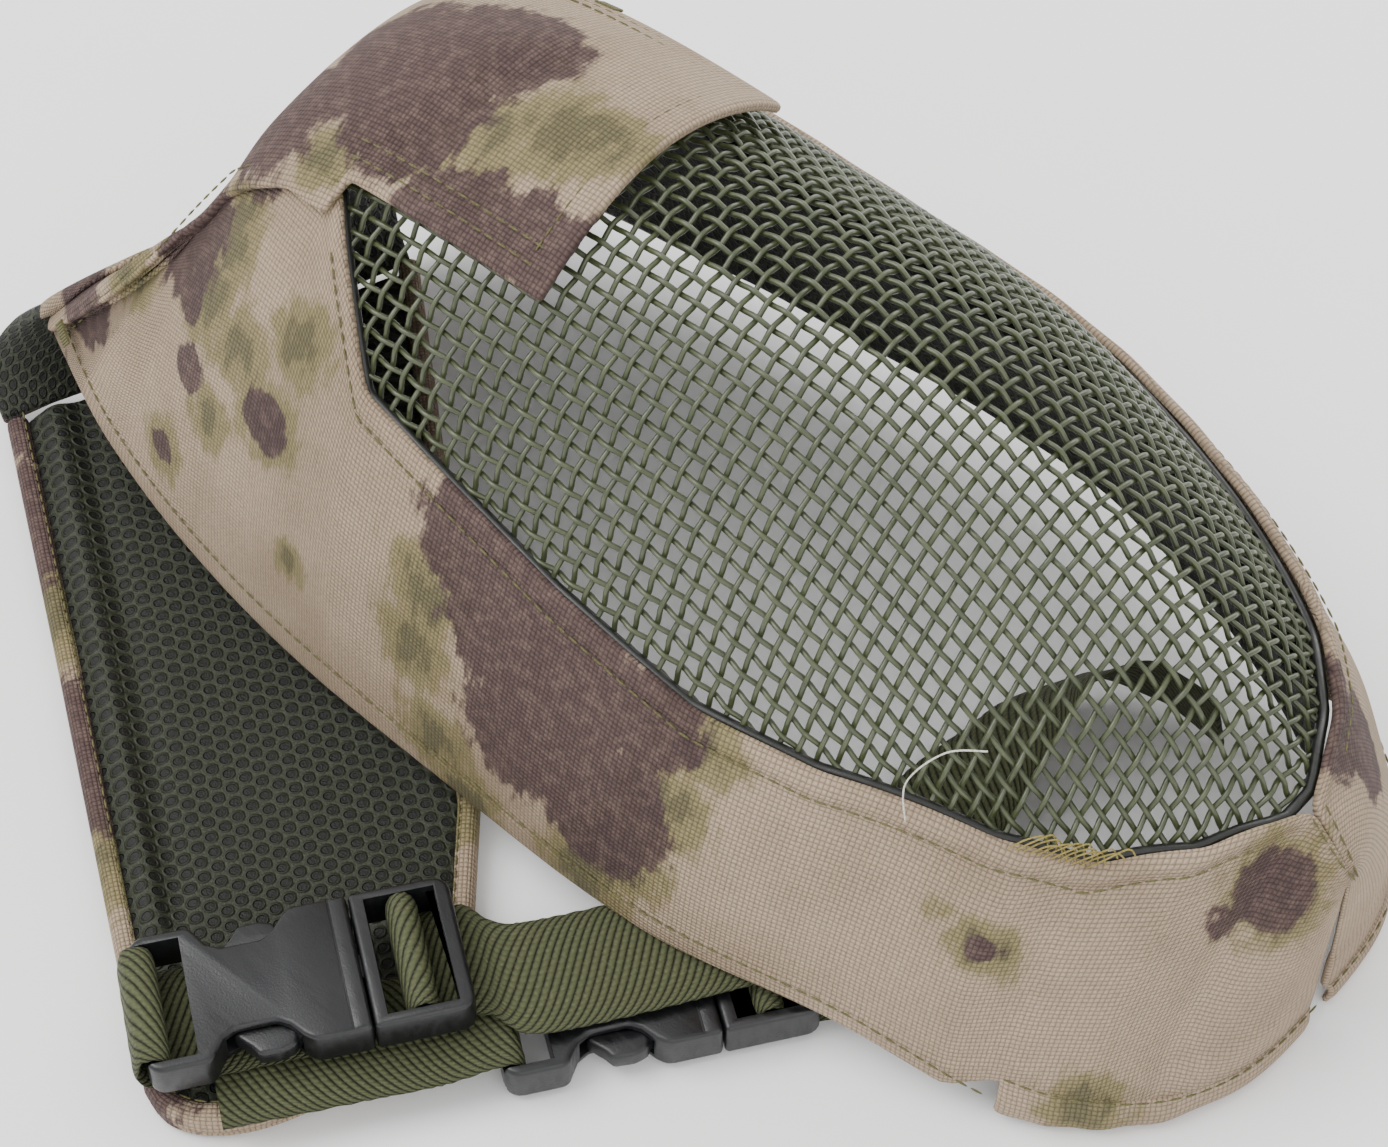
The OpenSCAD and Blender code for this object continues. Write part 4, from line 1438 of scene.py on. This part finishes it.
def plugTurns(at):
    return [
        stop(at, inFirst, 0.6, -1, 0), stop(at, inFirst, barHigh - 0.6, -1, 0),
        stop(at, barMid - 1, overBar, -0.3, 1),
        stop(at, barMid + 1, overBar, 0.3, 1), stop(at, inSecond, barHigh - 0.6, 1, 0),
        stop(at, inSecond, 2.2, 1, 0.2),
        stop(at, inSecond + 1.4, buckle["barLow"] - web["lie"], 0.4, 1),
    ]


def bodyTurns(at):
    x = bodyX + buckle["bar"] + web["lie"]
    return [
        stop(at, x, 0.6, 1, 0), stop(at, x, barHigh - 0.2, 1, 0),
        stop(at, bodyX + buckle["bar"] - 0.6, overBar, 0.3, 1),
        stop(at, bodyX - 0.6, overBar, -0.3, 1), stop(at, bodyX - web["lie"] - 0.8, barHigh - 1.4, -1, 0.2),
        stop(at, bodyX - web["lie"] - 0.8, 2.2, -1, -0.2),
    ]


one, two = buckle["one"], buckle["two"]
upward = Vector((0, 0, 1))
sideOf = Vector((math.sin(math.radians(buckle["turn"])), -math.cos(math.radians(buckle["turn"])), 0))
over = two[2] + buckle["height"] + 1.2 + web["lie"]


def at3(x, y, z, side, face):
    return (Vector((x, y, z)), Vector(side).normalized(), Vector(face).normalized())


webbing("strapFar", plugTurns(one) + [
    stop(one, plugX + 2, buckle["barLow"] - web["lie"], 0, 1),
    at3(190, -93, over + 0.4, sideOf, upward), at3(208, -66, over, (0.839, -0.545, 0), upward),
    at3(220, -44, over - 0.2, (0.9, -0.42, 0), upward), at3(222, -14, 7, (0.95, -0.1, 0.1), (-0.1, -0.1, 1)),
    at3(222, 8, 10, (0.8, -0.3, 0.5), (-0.55, -0.13, 0.81)),
    at3(227, 24, 16, (0.4, -0.45, 0.75), (-0.7, 0.35, 0.57)),
    at3(238, 31, 17, (0.1, -0.35, 0.9), (-0.25, 0.9, 0.38)),
    at3(252, 31, 16, (0, -0.3, 0.95), (-0.1, 0.95, 0.3)),
], "plug_one", "strap_far")
webbing("strapNear", plugTurns(two) + [
    stop(two, plugX + 2, buckle["barLow"] - web["lie"], 0, 1), stop(two, plugX + 10, 2.4, -0.2, 1),
    stop(two, plugX + 16, 5, -0.4, 1),
], "plug_two", "strap_near")
webbing("loopOne", bodyTurns(one) + [
    stop(one, bodyX + 1.4, -web["lie"], -0.2, -1), stop(one, buckle["split"], -web["lie"], 0, -1),
], "crown_flap", "loop_one")
low = flap["top"] + 0.4 + web["lie"] - 0.3
webbing("loopTwo", bodyTurns(two)[:3] + [
    stop(two, bodyX - 1.2, overBar, 0, 1), at3(183, -110, low, sideOf, upward),
    at3(178, -117, low, sideOf, upward), at3(160, -142, low, sideOf, upward),
], "crown_flap", "loop_two")
print("webbing made")

# Stitching and small trim
def panelSeam(side):
    paths = [windowPath(side, 5.2, -0.75, 0.33, 0.955)]
    foot = [skin(f, side * 0.945, -0.7) for f in steps(0.02, 0.885, 130)]
    front = [skin(0.018, side * v, -0.8) for v in steps(0.945, 0.86, 6)]
    hemLine = [skin(f, side * 0.875, -1.2) for f in chinRows(0.9, 40)]
    chinLine = [skin(f, side * (0.02 + 0.03), -0.7) for f in steps(0.972, 0.999, 8)]
    return paths + [foot, front, hemLine, chinLine]


def tabSeams():
    out = []
    for inset in (3.4, 6.2):
        a, b = forehead["tabEnd"] - inset / 297, 0.31
        for side in (-1, 1):
            v = side * (forehead["tabHalf"] - inset / 100)
            out.append([skin(f, v, -2.6) for f in steps(b, a, 30)])
        reach = -forehead["tabHalf"] + inset / 100
        out.append([skin(a, v, -2.6) for v in steps(reach, forehead["tabHalf"] - inset / 100, 40)])
    for side in (-1, 1):
        out.append([skin(f, side * (foreheadHalf(f) - 0.05), -2.4) for f in steps(0.02, 0.305, 60)])
    return out


stitches("nearPanelStitches", panelSeam(-1), "mask")
stitches("farPanelStitches", panelSeam(1), "mask")
stitches("foreheadStitches", tabSeams(), "mask")


def barTack(name, at, along, across, count, body):
    paths = []
    for k in range(count):
        shift = along * (k - count / 2) * 0.0006
        paths.append([at + shift - across * 0.0016, at + shift + across * 0.0016])
    flatUp = along.cross(across).normalized()
    made = wires(name, [[(p, 0.0, flatUp) for p in path] for path in paths], 0.00032, oliveThread, 0.0, 6)
    finishPiece(made, body, "camo")


fp = skin(0.02, -0.93, -2.7)
tackAlong = (skin(0.04, -0.93) - skin(0.0, -0.93)).normalized()
tackAcross = (skin(0.02, -0.9) - skin(0.02, -0.96)).normalized()
barTack("barTackNear", fp, tackAlong, tackAcross, 9, "mask")
tp = skin(0.335, 0.30, -3.0)
tackAlong = (skin(0.36, 0.3) - skin(0.31, 0.3)).normalized()
tackAcross = (skin(0.33, 0.33) - skin(0.33, 0.27)).normalized()
barTack("barTackTop", tp, tackAlong, tackAcross, 8, "mask")


def looseThread(name, points, radius, material):
    path = []
    n = len(points)
    for i in range(n - 1):
        p0, p1, p2, p3 = (points[max(0, min(n - 1, i + k))] for k in (-1, 0, 1, 2))
        for k in range(8):
            t = k / 8
            bend = (p0 * 2 - p1 * 5 + p2 * 4 - p3) * t * t + (p1 * 3 - p0 - p2 * 3 + p3) * t**3
            path.append(0.5 * (p1 * 2 + (p2 - p0) * t + bend))
    path.append(points[-1])
    made = wires(name, [[(p, 0.0, (0, 0, 1)) for p in path]], radius, material, 0.0, 6)
    finishPiece(made, "mask", "camo")


def offEdge(f, inset, depth):
    v = -(opening(f) + inset / 90)
    return skin(f, v, depth)


curl = [offEdge(0.80, 2, -1.5), offEdge(0.79, -3, -3.0), offEdge(0.80, -8, -4.0), offEdge(0.82, -10, -3.0)]
looseThread("looseWhiteThread", curl, 0.00016, paleThread)
for k in range(12):
    f0 = 0.855 + 0.0035 * k
    w = noise.noise(Vector((k * 1.7, 0.3, 0.2))) * 4
    curl = [
        offEdge(f0, 0.5, -0.8), offEdge(f0 + 0.004, -1.5, -1.8 - abs(w) * 0.3),
        offEdge(f0 + 0.012, -2.5 + w * 0.5, -1.6), offEdge(f0 + 0.018, -0.5 + w * 0.4, -0.8),
    ]
    looseThread(f"frayedThread{k}", curl, 0.00017, fringeThread)

# Finish
print("whole mask made")
